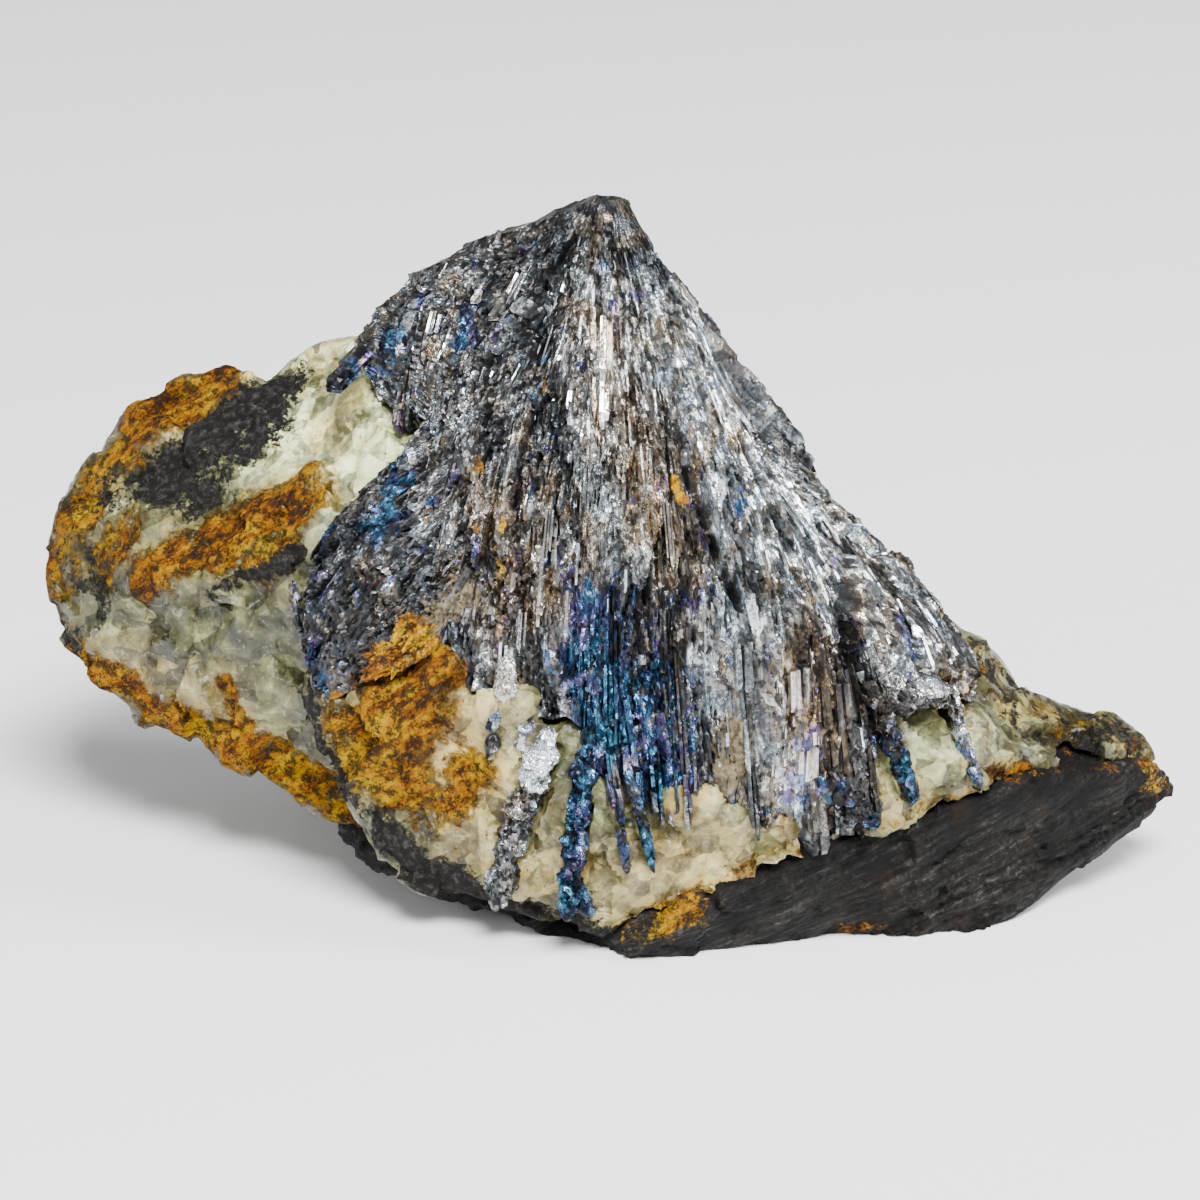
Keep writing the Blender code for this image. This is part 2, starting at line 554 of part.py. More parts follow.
def fuse(stone, voxel):
    modifier = stone.modifiers.new("fuse", "REMESH")
    modifier.mode = "VOXEL"
    modifier.voxel_size = voxel * MM


def thin(stone, share):
    modifier = stone.modifiers.new("thin", "DECIMATE")
    modifier.ratio = share


def make_stone(name, lumps, finish, share, cell, height):
    """Joins the lumps, breaks their faces into smaller ones, and thins the mesh to flat facets."""
    stone = add_object(name, join_parts(name, [hull(corners) for corners in lumps.values()]), finish)
    fuse(stone, ROCK_VOXEL)
    for step, pattern in enumerate(("VORONOI", "CLOUDS")):
        break_up = stone.modifiers.new("break_up", "DISPLACE")
        break_up.texture = relief(f"{name}_{step}", cell / (1 + step), pattern)
        break_up.texture_coords = "LOCAL"
        break_up.strength = height * MM / (1 + step)
        break_up.mid_level = 0.4
    fuse(stone, ROCK_VOXEL)
    thin(stone, share)
    settle(stone)
    return stone


def make_slate_room(slate):
    """The slate's own shape, larger by its gap, to cut the quartz with."""
    room = as_helper(add_object("slate_room", slate.data.copy()))
    swell = room.modifiers.new("swell", "DISPLACE")
    swell.strength = SLATE_GAP * MM
    swell.mid_level = 0.0
    settle(room)
    return room


def main():
    clear_scene()
    stibnite = material("stibnite", STIBNITE)
    quartz_finish = material("quartz", QUARTZ)
    slate_finish = material("slate", SLATE)

    make_spray("stibnite_spray", stibnite)
    rooms = [as_helper(make_spray("spray_room", stibnite, GAP)), make_loose_blades(stibnite)]

    slate = make_stone("slate_base", SLATE_LUMPS, slate_finish, SLATE_SHARE, SLATE_CELL, SLATE_RELIEF)
    slate_room = make_slate_room(slate)
    for room in rooms:
        boolean(slate, room, "DIFFERENCE")
    settle(slate)
    cut_flat(slate.data, REST_HEIGHT)

    quartz = make_stone("quartz_vein", QUARTZ_LUMPS, quartz_finish, QUARTZ_SHARE, QUARTZ_CELL, QUARTZ_RELIEF)
    for room in [*rooms, slate_room]:
        boolean(quartz, room, "DIFFERENCE")
    settle(quartz)
    cut_flat(quartz.data, QUARTZ_LOWEST)


main()
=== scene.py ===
"""Builds a stibnite crystal spray on quartz and slate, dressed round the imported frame.

The spray is a fan of fine steel-grey splinters with blue and bronze tarnish. It grows on cloudy
green-grey quartz with orange limonite, over black slate. Sizes are in millimetres until a mesh is
made. X runs along the specimen, Y away from its front, and Z up from the face that it rests on.
"""

import math

import bmesh
import bpy
import numpy as np
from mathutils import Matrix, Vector


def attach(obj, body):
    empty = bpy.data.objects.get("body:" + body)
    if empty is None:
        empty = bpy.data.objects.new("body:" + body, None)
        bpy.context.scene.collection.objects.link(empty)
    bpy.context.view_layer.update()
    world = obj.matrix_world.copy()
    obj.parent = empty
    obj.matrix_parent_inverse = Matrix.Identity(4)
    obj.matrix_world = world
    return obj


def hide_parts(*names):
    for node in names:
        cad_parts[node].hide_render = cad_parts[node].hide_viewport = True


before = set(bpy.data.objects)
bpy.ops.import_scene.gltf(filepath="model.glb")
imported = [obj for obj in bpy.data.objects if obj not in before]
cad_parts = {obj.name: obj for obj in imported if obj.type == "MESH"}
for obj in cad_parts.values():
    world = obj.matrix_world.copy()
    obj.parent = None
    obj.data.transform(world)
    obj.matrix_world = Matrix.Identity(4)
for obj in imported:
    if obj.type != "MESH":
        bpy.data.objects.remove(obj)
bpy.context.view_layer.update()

bl_info = {
    "name": "Stibnite spray on quartz",
    "version": (1, 0, 0),
    "blender": (4, 5, 0),
    "location": "View3D > Sidebar > Specimen",
    "description": "Grows a stibnite fan, its blades and the stone that it stands on",
    "category": "Object",
}

MM = 0.001
METAL = "stibnite_metal"

# ---- the shape of the spray ----------------------------------------------------------------------

# Ribs of the main fan: a point on the crest, a point on the lower rim, how far the rib stands out a
# third and two thirds of the way down, and how far its middle bends towards +X.
FAN_RIBS = {
    "crest_end": ((-18.7, 8.0, 39.9), (-19.7, 7.5, 38.2), 0.0, 0.0, 0.0),
    "upper_left": ((-15.4, 7.0, 43.4), (-17.2, 1.5, 35.0), 1.2, 1.0, 0.0),
    "quartz_notch": ((-12.0, 6.5, 45.9), (-14.3, -1.7, 34.9), 1.2, 0.8, 0.0),
    "wing_top": ((-6.2, 6.0, 48.0), (-15.2, -5.2, 28.6), 1.6, 1.2, 0.0),
    "wing_right": ((-3.9, 5.8, 49.1), (-14.0, -9.4, 21.6), 1.8, 1.8, 0.0),
    "front_left": ((-3.1, 5.7, 49.5), (-9.7, -11.0, 18.8), 2.0, 2.0, 0.0),
    "front_mid_left": ((-2.8, 5.7, 49.6), (-5.2, -12.3, 17.8), 2.3, 2.0, 0.0),
    "blue_left": ((-2.5, 5.7, 49.6), (-2.1, -13.2, 13.7), 2.3, 1.2, 0.0),
    "blue_right": ((-2.2, 5.7, 49.6), (2.7, -13.6, 12.0), 2.5, 1.8, 0.0),
    "front_mid": ((-1.8, 5.7, 49.6), (7.2, -13.7, 11.6), 3.0, 3.2, 0.0),
    "front_right": ((-1.4, 5.8, 49.5), (12.1, -13.4, 9.0), 3.0, 4.0, 0.0),
    "ledge_foot": ((-1.2, 5.9, 49.4), (15.6, -12.6, 9.9), 1.2, 3.4, -0.2),
    "ledge_left": ((-1.0, 6.1, 49.3), (16.8, -10.0, 17.7), 0.2, 2.2, -0.4),
    "ledge_right": ((-0.9, 6.4, 49.1), (22.3, -4.5, 15.8), -1.6, 0.8, -0.6),
    "right_heel": ((-0.8, 6.9, 48.9), (24.2, 0.0, 17.2), -3.0, -0.9, -0.8),
    "back_heel": ((-1.0, 7.5, 48.8), (19.0, 8.5, 19.6), -2.4, -1.6, -0.8),
    "back_right": ((-1.8, 8.0, 48.8), (11.0, 13.5, 27.0), 0.2, 0.6, 0.0),
    "back_middle": ((-3.4, 8.3, 48.8), (1.0, 14.0, 33.0), 0.8, 0.8, 0.0),
    "back_left": ((-7.7, 9.3, 47.0), (-8.0, 13.5, 36.5), 0.6, 0.6, 0.0),
    "back_end": ((-13.7, 9.6, 43.9), (-15.0, 12.0, 37.5), 0.2, 0.2, 0.0),
}
WING_RIBS = {
    "wing_crease": ((-13.0, -0.8, 37.0), (-16.0, -3.6, 32.8), 0.3, 0.3, 0.0),
    "wing_shoulder": ((-12.2, -1.4, 37.0), (-18.8, -4.4, 29.7), 0.6, 0.6, 0.0),
    "wing_upper": ((-11.6, -1.8, 36.8), (-22.1, -3.9, 27.0), 0.8, 0.9, 0.0),
    "wing_end": ((-11.0, -2.6, 36.0), (-23.7, -5.5, 23.2), 1.0, 1.4, 0.0),
    "wing_foot": ((-10.6, -3.8, 34.4), (-22.8, -7.8, 17.3), 1.0, 2.0, 0.0),
    "wing_lower": ((-10.2, -5.4, 32.0), (-19.0, -9.0, 19.0), 0.8, 1.2, 0.0),
    "wing_root": ((-9.8, -6.6, 30.0), (-14.6, -9.8, 21.2), 0.6, 0.6, 0.0),
    "wing_back_low": ((-9.0, -3.0, 31.0), (-13.0, -3.0, 21.0), 0.0, 0.0, 0.0),
    "wing_back_end": ((-10.0, -1.0, 35.0), (-20.0, -1.5, 21.0), 0.0, 0.0, 0.0),
    "wing_back_top": ((-11.5, 0.0, 36.0), (-17.0, 0.0, 28.0), 0.0, 0.0, 0.0),
}
SPINE = (-3.0, 5.0)
FAN_SEAT = (0.0, 1.0, 21.0)
WING_SEAT = (-14.0, -2.0, 27.0)
SKIRT = 2.2

# Broad hollows and swellings of the main fan: rib number, distance down, half widths, height.
FAN_FORMS = {
    "scooped_face": (11.6, 0.42, 1.6, 0.16, -2.2),
    "upper_facet": (13.2, 0.25, 1.0, 0.12, 0.9),
    "crest_cleft": (4.0, 0.26, 0.5, 0.10, -1.5),
    "blue_hollow": (7.6, 0.80, 1.0, 0.14, -1.6),
    "main_ridge": (9.6, 0.62, 0.8, 0.30, 1.2),
    "ledge_swelling": (13.1, 0.80, 1.2, 0.24, 1.2),
    "back_shoulder": (15.5, 0.95, 0.9, 0.30, 0.9),
}
LEDGE = (
    (15.8, -4.0, 25.6), (17.9, 0.0, 25.3), (20.0, 1.0, 23.3), (21.7, 1.0, 20.8),
    (24.1, -1.0, 17.6), (22.1, -6.2, 17.2), (18.6, -10.3, 17.2), (16.0, -12.0, 18.5),
    (15.1, -9.7, 23.4), (17.6, -5.2, 23.4), (20.0, -6.4, 20.8), (18.0, 4.0, 21.0),
    (12.0, 0.0, 20.0), (14.0, -4.0, 17.2), (20.0, 2.0, 16.6),
)

# Pleats of the fan, as deep as the blades that it is made of: they break off row by row.
PLEATS_PER_RIB = 4
PLEAT_ROWS = 7
PLEAT_HEIGHT = 0.75
PLEAT_BREAK = 0.35  # the share of them that end at each row
PLEAT_SPACING = 1.1  # near the crest, where the ribs are closer than this, they are lower
PLEAT_SEED = 11
RIM_RAGGED = 0.035  # how unevenly they end at the rim

FAN_COLUMNS = 620
FAN_ROWS = 148
BACK_DENSITY = 0.42  # the columns are this much sparser along the back
FRONT_RIBS = (2.0, 15.0)
WING_COLUMNS = 260
WING_ROWS = 90

# The skin is broken into coarse chips, and each of them into finer and finer ones along its own line:
# width in millimetres, length over width, half their difference in height, slopes across and along.
FAN_CHIPS = (
    (2.4, 4.2, 0.40, 0.30, 0.06),
    (0.85, 3.0, 0.26, 0.50, 0.14),
    (0.38, 2.2, 0.12, 0.60, 0.24),
)
WING_CHIPS = (
    (1.8, 2.2, 0.36, 0.30, 0.16),
    (0.75, 2.0, 0.22, 0.50, 0.25),
    (0.36, 1.8, 0.12, 0.60, 0.30),
)
CHIP_WARP = 0.16  # how far the edges of the finer chips wander
CHIPS_LOST = (0.1, 0.4, 0.75)  # the share of each layer's height that is lost in massive metal
GROOVE_DEPTH = 0.55
GROOVE_WIDTH = 1.3
GROOVE_LENGTH = 9.0
CREVICE_DEPTH = 1.8
BLOCK_SIZE = 1.8  # the ledge breaks off in blocks this wide
SEAM = 0.8  # quartz and slate move towards each other by this much where they meet
RIM_BANK = 0.4  # how far the quartz swells up to the fan's front edge
BANK_RIBS = (3.0, 11.2)
FOOT_BANK = 0.6  # and how much further where the foot of the fan is thin
FOOT_RIBS = (4.3, 6.3)
QUARTZ_DROP = 1.5  # how far it falls back under the blue blades
# Behind the right flank of the fan the quartz is split off flat: the plane's direction and distance
# from the origin, and the height that the plane fades out below.
SPLIT_FACE = ((0.815, 0.217, 0.538), 26.1, 20.5)
EDGE_PLUNGE = 0.5  # how far the fan's lower edge dips into the quartz
LEDGE_RIBS = (11.4, 13.6)  # it doesn't under the ledge

# Blades that stand proud of the skin, scattered over both fans. Their lengths are shares of a rib.
BLADE_SEED = 5
BLADES = 52
BLADE_LENGTH = (0.20, 0.50)
BLADE_WIDTH = (0.9, 2.2)
BLADE_THICKNESS = 2.4
BLADE_PROUD = (0.25, 0.75)
RUN_SEED = 500  # each run of small crystals starts ten further on
CRYSTAL_SEED = 600
FRONT_BLADES = (0.6, 14.0)
BACK_BLADES = (14.0, 19.0)
WING_BLADES = (0.4, 5.2)
BLADES_END = 16.5  # none beyond this rib, where they would stick out behind the crest
BLADE_SUNK = 0.55  # the strips of a split blade lie this much lower than a whole one

# Named blades that run out over the stone: where each leaves the skin, its end, width, thickness.
RIM_BLADES = {
    "teal_blade": (0.7, 0.25, (-22.4, 2.2, 36.6), 1.1, 1.6),
    "notch_blade": (1.5, 0.45, (-16.8, -0.6, 34.2), 1.5, 1.8),
    "blue_sliver": (2.6, 0.80, (-18.5, -5.4, 29.0), 1.4, 2.4),
    "blue_heart": (7.05, 0.86, (-0.7, -14.9, 10.8), 2.6, 2.0),
    "blue_side": (7.8, 0.88, (1.9, -14.9, 10.4), 1.8, 2.0),
    "blue_root": (8.1, 0.72, (3.4, -15.1, 10.4), 1.6, 2.2),
    "middle_root": (9.0, 0.72, (8.4, -15.0, 9.4), 1.6, 2.2),
    "bronze_root": (10.1, 0.70, (13.4, -14.5, 8.2), 3.0, 3.0),
    "foot_root": (10.8, 0.75, (16.0, -13.4, 8.9), 2.0, 2.6),
}
RIM_BLADE_PROUD = 0.35

# Runs of small crystals over the stone: the points that each passes, width, thickness, added shade.
VEINS = {
    "blue_stem": (
        ((-3.2, -12.2, 17.6), (-4.2, -13.1, 11.7), (-4.8, -14.4, 6.5), (-5.1, -14.8, 3.2)),
        1.6, 1.5, 0.0,
    ),
    "blue_stem_foot": (((-4.3, -14.2, 5.6), (-3.4, -14.7, 3.6)), 1.1, 1.0, -0.1),
    "thin_stem": (((-0.9, -13.6, 14.4), (0.2, -14.5, 10.4), (1.0, -14.9, 7.0)), 0.8, 0.9, 0.0),
    "ledge_stem": (((16.6, -10.6, 17.6), (18.0, -11.1, 14.0), (19.0, -11.3, 10.6)), 1.3, 1.4, -0.15),
    "heel_stem": (((21.6, -7.4, 18.0), (22.6, -8.8, 14.4), (23.8, -9.3, 10.8)), 1.0, 1.2, 0.1),
    "ledge_crumbs": (
        ((15.9, -11.3, 18.4), (18.6, -9.6, 17.8), (21.4, -6.8, 17.3), (23.6, -3.4, 16.8)),
        1.9, 1.9, -0.1,
    ),
    "foot_stem": (((13.4, -13.8, 12.8), (15.6, -13.6, 10.8), (16.6, -13.3, 9.9)), 1.3, 1.0, -0.3),
    "white_foot": (((-9.1, -11.3, 21.8), (-9.3, -11.8, 19.6), (-9.4, -11.7, 18.2)), 1.3, 1.0, 0.6),
    "blue_foot": (((-9.9, -11.8, 18.2), (-10.3, -11.6, 16.3)), 1.0, 0.9, 0.0),
    "blue_bit": (((-7.7, -12.0, 17.7), (-8.0, -12.0, 16.3)), 1.2, 0.9, 0.0),
    "white_bit": (((-8.0, -12.0, 16.3), (-8.5, -12.0, 15.1)), 1.0, 0.9, 0.6),
    "dark_bit": (((-10.1, -11.7, 16.1), (-10.5, -11.7, 14.2)), 1.0, 0.8, -0.1),
}
VEIN_CHIPS = ((0.9, 0.15, 0.35), (0.36, 0.08, 0.60))  # width, half the difference in height, slope
VEIN_STEP = 0.13
VEIN_COLUMNS = 52

# Loose crystals in the quartz: the node that each stands for, the points it passes, width, thickness.
LOOSE_CRYSTALS = {
    "silver_crystal": (
        "silver_blade",
        ((-6.2, -12.1, 16.9), (-7.5, -12.7, 13.2), (-9.3, -12.7, 7.0), (-10.2, -12.3, 2.8)),
        2.1, 1.7,
    ),
    "left_crystal": (
        "left_needle",
        ((-24.4, -3.0, 24.1), (-24.1, -3.1, 22.0), (-23.8, -3.1, 20.1)),
        0.6, 0.9,
    ),
    "front_crystal": ("front_needle", ((-1.3, -15.0, 10.5), (-0.9, -15.2, 7.1)), 0.7, 1.0),
}
SILVER_FOOT = 11.8  # below this height the silver crystal is dark

# Flat cleavage faces that catch the light: rib number, distance down, length, width, shade. The shade makes
# them paler than the metal itself, a painted highlight.
BRIGHT_FACES = {
    "crown_face": (6.75, 0.27, 4.6, 1.7, 1.0),
    "crown_foot": (6.7, 0.37, 3.6, 1.3, 0.95),
    "crown_right": (7.3, 0.24, 4.2, 0.7, 0.7),
    "streak_top": (7.45, 0.39, 2.8, 0.7, 0.9),
    "streak_middle": (7.75, 0.46, 4.2, 0.8, 0.95),
    "streak_low": (8.05, 0.56, 4.6, 0.7, 0.9),
    "right_shoulder": (13.2, 0.20, 3.0, 1.5, 0.95),
    "right_face": (13.1, 0.36, 4.0, 1.5, 0.85),
    "right_pane": (12.6, 0.42, 3.6, 1.7, 0.7),
    "right_streak": (11.6, 0.58, 4.6, 1.2, 0.95),
    "right_low": (12.1, 0.66, 3.4, 1.0, 0.8),
    "left_foot": (5.1, 0.93, 2.8, 1.0, 0.95),
    "left_foot_low": (5.3, 0.86, 3.2, 0.6, 0.7),
    "grey_plate": (9.0, 0.77, 4.0, 2.6, 0.55),
    "cream_plate": (9.6, 0.79, 3.4, 1.9, 1.0),
    "blue_pane": (9.7, 0.90, 3.0, 1.7, 0.9),
    "bronze_pane": (10.3, 0.80, 4.2, 2.4, 0.25),
    "left_streak": (5.6, 0.66, 3.6, 0.6, 0.8),
    "middle_streak": (6.3, 0.55, 4.4, 0.5, 0.7),
    "upper_glint": (3.4, 0.22, 2.6, 0.9, 0.75),
    "left_glint": (2.2, 0.45, 2.2, 0.9, 0.7),
    "root_streak": (8.5, 0.82, 3.8, 0.6, 0.85),
}
BRIGHT_PROUD = 0.55
GLINT_NORMAL = (0.10, -0.80, 0.59)  # the way that the brightest faces lie

# ---- where the finishes change -------------------------------------------------------------------

# A zone is a segment in millimetres and the radius that it fades out over, then its strength.
ZONES = {
    "dropped": (  # quartz that falls back under the blue blades
        ((-1.4, -13.2, 14.2), (-0.6, -13.6, 11.4), 2.2, 1.0),
    ),
    "massive": (  # unbroken metal, also made paler as painted sheen of the lit right flank
        ((3.0, -2.0, 41.0), (10.0, -6.0, 29.0), 5.0, 1.0),
        ((6.0, -9.0, 32.0), (12.0, -7.0, 26.0), 4.0, 0.9),
        ((13.5, -6.0, 26.0), (22.0, -4.5, 19.0), 5.5, 1.0),
        ((7.0, -12.4, 23.0), (12.0, -13.6, 14.0), 4.0, 0.8),
        ((-2.7, 0.6, 44.0), (-2.8, -5.0, 36.0), 2.6, 0.5),
    ),
    "crevice": (  # deep cracks of the fan
        ((13.7, -7.6, 25.4), (14.5, -8.8, 23.0), 0.7, 0.8),
        ((14.5, -8.8, 23.0), (15.4, -11.0, 20.0), 0.9, 1.0),
        ((15.4, -11.0, 20.0), (15.8, -11.2, 17.4), 0.9, 1.0),
        ((3.2, -7.2, 33.8), (4.9, -9.9, 29.8), 0.32, 0.6),
        ((4.9, -9.9, 29.8), (6.9, -11.6, 25.6), 0.4, 0.8),
        ((-8.1, 1.2, 43.0), (-7.5, -1.8, 40.4), 0.8, 1.0),
        ((-9.6, -2.0, 39.0), (-11.4, -5.0, 34.0), 0.35, 0.6),
        ((-5.0, -6.4, 34.6), (-6.4, -9.6, 28.0), 0.3, 0.6),
        ((1.0, -10.4, 27.0), (1.8, -12.2, 20.0), 0.3, 0.7),
        ((8.8, -10.0, 27.6), (9.4, -11.0, 24.8), 0.4, 0.8),
        ((10.6, -4.4, 30.0), (12.6, -5.6, 26.6), 0.3, 0.6),
        ((17.8, -5.6, 24.4), (19.4, -8.4, 19.4), 0.3, 0.6),
    ),
    "blocky": (  # edges that break off in blocks
        ((15.8, -11.6, 19.0), (18.6, -9.8, 18.2), 1.5, 1.0),
        ((18.6, -9.8, 18.2), (23.6, -3.4, 17.0), 1.4, 1.0),
        ((12.4, -13.6, 13.0), (15.0, -13.4, 10.6), 1.4, 0.7),
        ((-4.0, 1.0, 46.0), (-10.0, 2.0, 43.6), 1.6, 0.5),
    ),
    "seam": (  # where quartz and slate meet
        ((-1.0, -13.8, 1.6), (3.5, -14.2, 4.0), 1.5, 1.0),
        ((3.5, -14.2, 4.0), (9.4, -13.8, 7.6), 1.5, 1.0),
        ((9.4, -13.8, 7.6), (17.0, -12.4, 9.6), 1.5, 1.0),
        ((17.0, -12.4, 9.6), (25.3, -8.4, 10.6), 1.5, 1.0),
        ((25.3, -8.4, 10.6), (36.5, -1.6, 9.0), 1.5, 1.0),
    ),
    "dim": (  # darker metal
        ((12.4, -11.4, 22.0), (13.6, -13.4, 14.0), 2.2, 0.9),
        ((17.0, -10.8, 17.0), (19.2, -11.6, 10.4), 1.5, 0.6),
        ((13.6, -13.8, 12.4), (17.6, -13.4, 9.4), 1.5, 1.0),
        ((-3.4, -13.8, 16.0), (-5.0, -15.4, 3.2), 1.5, 0.6),
        ((16.0, -11.6, 18.4), (23.6, -3.8, 16.8), 1.6, 0.9),
        ((16.0, -6.5, 24.5), (22.0, -3.5, 20.0), 4.4, 0.85),
        ((-20.0, -6.0, 27.0), (-18.0, -8.6, 20.0), 5.0, 0.5),
        ((-17.6, 3.2, 39.5), (-22.2, 2.2, 36.6), 1.4, 1.0),
    ),
    "blue": (  # blue tarnish
        ((-3.2, -10.4, 24.0), (-1.6, -12.6, 14.5), 3.8, 0.85),
        ((0.6, -11.0, 19.0), (1.6, -13.4, 13.0), 3.2, 0.9),
        ((-3.6, -13.0, 14.0), (-5.0, -15.4, 4.0), 2.6, 1.0),
        ((-1.3, -14.6, 10.6), (1.0, -15.2, 7.2), 2.2, 0.9),
        ((-12.4, 1.8, 42.8), (-11.0, 0.8, 40.0), 1.6, 0.6),
        ((-17.6, 3.2, 39.5), (-22.0, 2.2, 36.6), 2.0, 0.85),
        ((-16.5, -3.6, 32.0), (-18.5, -5.4, 29.0), 1.6, 0.85),
        ((11.0, -13.6, 15.5), (10.6, -14.4, 12.0), 2.2, 0.6),
        ((13.2, -8.8, 24.0), (14.2, -9.8, 20.0), 1.7, 0.3),
        ((18.0, -10.6, 15.5), (19.0, -11.4, 10.6), 1.8, 0.8),
        ((13.6, -13.8, 12.4), (17.6, -13.4, 9.4), 1.5, 0.5),
        ((-9.9, -11.8, 18.0), (-10.3, -11.6, 16.3), 1.0, 0.9),
        ((-7.8, -11.8, 17.4), (-8.0, -11.8, 16.5), 0.9, 0.9),
        ((23.0, -8.0, 14.0), (23.8, -9.2, 11.0), 1.6, 0.7),
        ((-23.4, -4.6, 27.5), (-22.6, -7.6, 20.0), 2.4, 0.5),
        ((3.6, -9.0, 30.0), (4.6, -10.6, 26.0), 1.6, 0.5),
    ),
    "bronze": (  # brown tarnish
        ((16.0, -11.4, 18.0), (23.6, -3.4, 16.8), 1.6, 0.6),
        ((12.6, -11.7, 22.0), (12.8, -13.6, 15.0), 2.8, 0.6),
        ((-2.7, -1.2, 42.0), (-2.4, -5.0, 36.0), 2.6, 0.5),
        ((-0.6, -5.2, 35.6), (3.0, -9.6, 27.5), 2.4, 0.7),
        ((-9.7, -8.0, 31.0), (-7.4, -9.6, 26.0), 3.6, 0.6),
        ((10.2, -13.1, 21.5), (10.4, -13.6, 18.0), 1.8, 0.6),
        ((23.6, -7.8, 16.5), (22.0, -6.0, 19.0), 2.0, 0.6),
    ),
    "glinting": (  # painted highlight: the metal is made paler where it glints
        ((-2.7, 0.6, 44.0), (-2.8, -5.0, 36.0), 3.0, 0.5),
        ((2.0, 3.0, 43.0), (8.0, -5.5, 33.0), 3.6, 0.5),
        ((8.0, -5.0, 33.0), (11.6, -6.4, 27.0), 2.8, 0.6),
        ((7.6, -12.4, 23.0), (10.4, -13.8, 14.0), 3.2, 0.6),
        ((-9.6, -10.9, 20.5), (-8.8, -11.4, 17.5), 2.0, 0.8),
        ((16.5, -4.0, 26.0), (21.0, -1.0, 22.0), 2.4, 0.15),
        ((-10.0, -7.0, 31.0), (-5.0, -9.6, 25.0), 3.4, 0.5),
        ((-1.0, -7.4, 32.0), (3.0, -10.0, 27.0), 3.0, 0.6),
    ),
    "coated": (  # cream crust on the metal
        ((-13.8, -9.4, 24.5), (-12.4, -9.4, 25.5), 1.8, 0.8),
        ((-11.6, -6.4, 32.5), (-9.0, -8.6, 28.6), 2.0, 0.45),
        ((-10.0, -9.6, 24.0), (-9.0, -10.6, 20.0), 1.6, 0.5),
        ((6.2, -13.1, 16.4), (6.0, -13.6, 13.0), 1.6, 0.9),
        ((2.0, -8.4, 32.4), (3.0, -8.8, 31.4), 1.4, 0.6),
        ((21.0, -7.6, 17.5), (23.6, -4.0, 16.5), 1.4, 0.5),
        ((1.6, -11.6, 19.4), (2.6, -12.4, 16.0), 1.4, 0.5),
    ),
    "rust": (  # limonite
        ((-16.7, -9.8, 18.4), (-17.2, -9.6, 12.6), 4.2, 1.0),
        ((-15.6, -9.7, 22.6), (-13.6, -9.9, 20.0), 2.0, 0.9),
        ((-20.6, -8.8, 16.0), (-19.4, -9.0, 12.0), 2.6, 0.85),
        ((-12.2, -10.9, 13.0), (-14.8, -10.4, 10.0), 2.4, 0.8),
        ((-35.4, 1.6, 22.8), (-29.7, 0.5, 25.8), 2.2, 0.9),
        ((-29.7, 0.5, 25.8), (-23.4, -0.6, 29.6), 2.6, 1.0),
        ((-25.0, -1.6, 27.0), (-26.6, -1.6, 24.6), 1.8, 0.9),
        ((-35.5, 11.0, 31.0), (-30.4, 12.4, 33.8), 2.8, 1.0),
        ((-40.8, 8.0, 24.0), (-37.4, 9.4, 28.4), 2.6, 0.8),
        ((-43.0, 8.0, 20.0), (-41.6, 6.0, 21.4), 2.4, 0.8),
        ((-36.4, 4.6, 24.4), (-38.4, 5.0, 22.4), 2.4, 0.7),
        ((-40.6, 4.6, 15.6), (-35.0, 2.4, 11.8), 2.0, 0.85),
        ((-33.0, 1.4, 11.6), (-26.0, -1.2, 9.8), 2.0, 0.95),
        ((-26.0, -1.4, 9.4), (-21.0, -2.6, 6.4), 2.0, 0.9),
        ((-29.4, -0.4, 15.0), (-28.2, -0.8, 12.0), 1.2, 0.85),
        ((-1.0, -13.8, 1.6), (3.5, -14.2, 4.0), 1.2, 0.8),
        ((3.5, -14.2, 4.4), (9.4, -13.8, 7.6), 0.9, 0.6),
        ((9.4, -13.6, 7.6), (17.0, -12.4, 9.6), 0.8, 0.45),
        ((18.0, -12.0, 9.8), (25.3, -8.4, 10.6), 0.9, 0.5),
        ((25.3, -8.4, 10.8), (27.4, -6.2, 10.6), 1.3, 0.7),
        ((27.6, -6.0, 10.4), (36.0, -1.6, 9.0), 0.9, 0.5),
        ((35.8, -1.6, 7.8), (38.4, 0.0, 7.4), 1.2, 0.6),
        ((27.0, 0.0, 12.0), (36.0, 1.0, 10.4), 3.0, 0.52),
        ((24.0, 2.0, 16.4), (27.0, 3.4, 13.6), 2.4, 0.5),
        ((13.0, -11.0, -0.4), (17.0, -10.6, 0.6), 1.4, 0.5),
        ((-11.3, -5.4, 34.0), (-10.9, -6.2, 32.8), 0.5, 0.9),
        ((-9.9, -7.5, 31.4), (-9.5, -8.5, 29.8), 0.5, 0.8),
        ((-14.4, -5.6, 31.0), (-14.8, -6.2, 30.0), 0.5, 0.8),
        ((-11.6, -7.0, 30.4), (-11.2, -7.6, 29.4), 0.4, 0.8),
        ((-9.9, -8.3, 28.6), (-9.5, -8.8, 27.0), 0.4, 0.8),
        ((2.4, -7.1, 33.1), (2.8, -7.8, 31.9), 0.7, 0.8),
        ((-6.5, -3.0, 39.6), (-6.7, -3.4, 38.4), 0.4, 0.7),
    ),
    "dark": (  # slate left on the quartz, and painted shade on the left lobe's top and front edge
        # painted shade: the dark hollow on top of the left lobe
        ((-33.4, 6.8, 27.6), (-26.2, 9.0, 33.4), 3.2, 1.0),
        ((-31.6, 5.0, 26.8), (-26.0, 6.8, 31.6), 2.4, 0.9),
        ((-37.8, 8.0, 26.4), (-35.0, 7.0, 26.4), 2.2, 0.6),
        ((-41.4, 6.4, 21.6), (-38.4, 4.4, 19.4), 2.2, 0.45),
        ((-30.0, -0.9, 22.4), (-24.0, -2.4, 26.0), 0.9, 0.7),
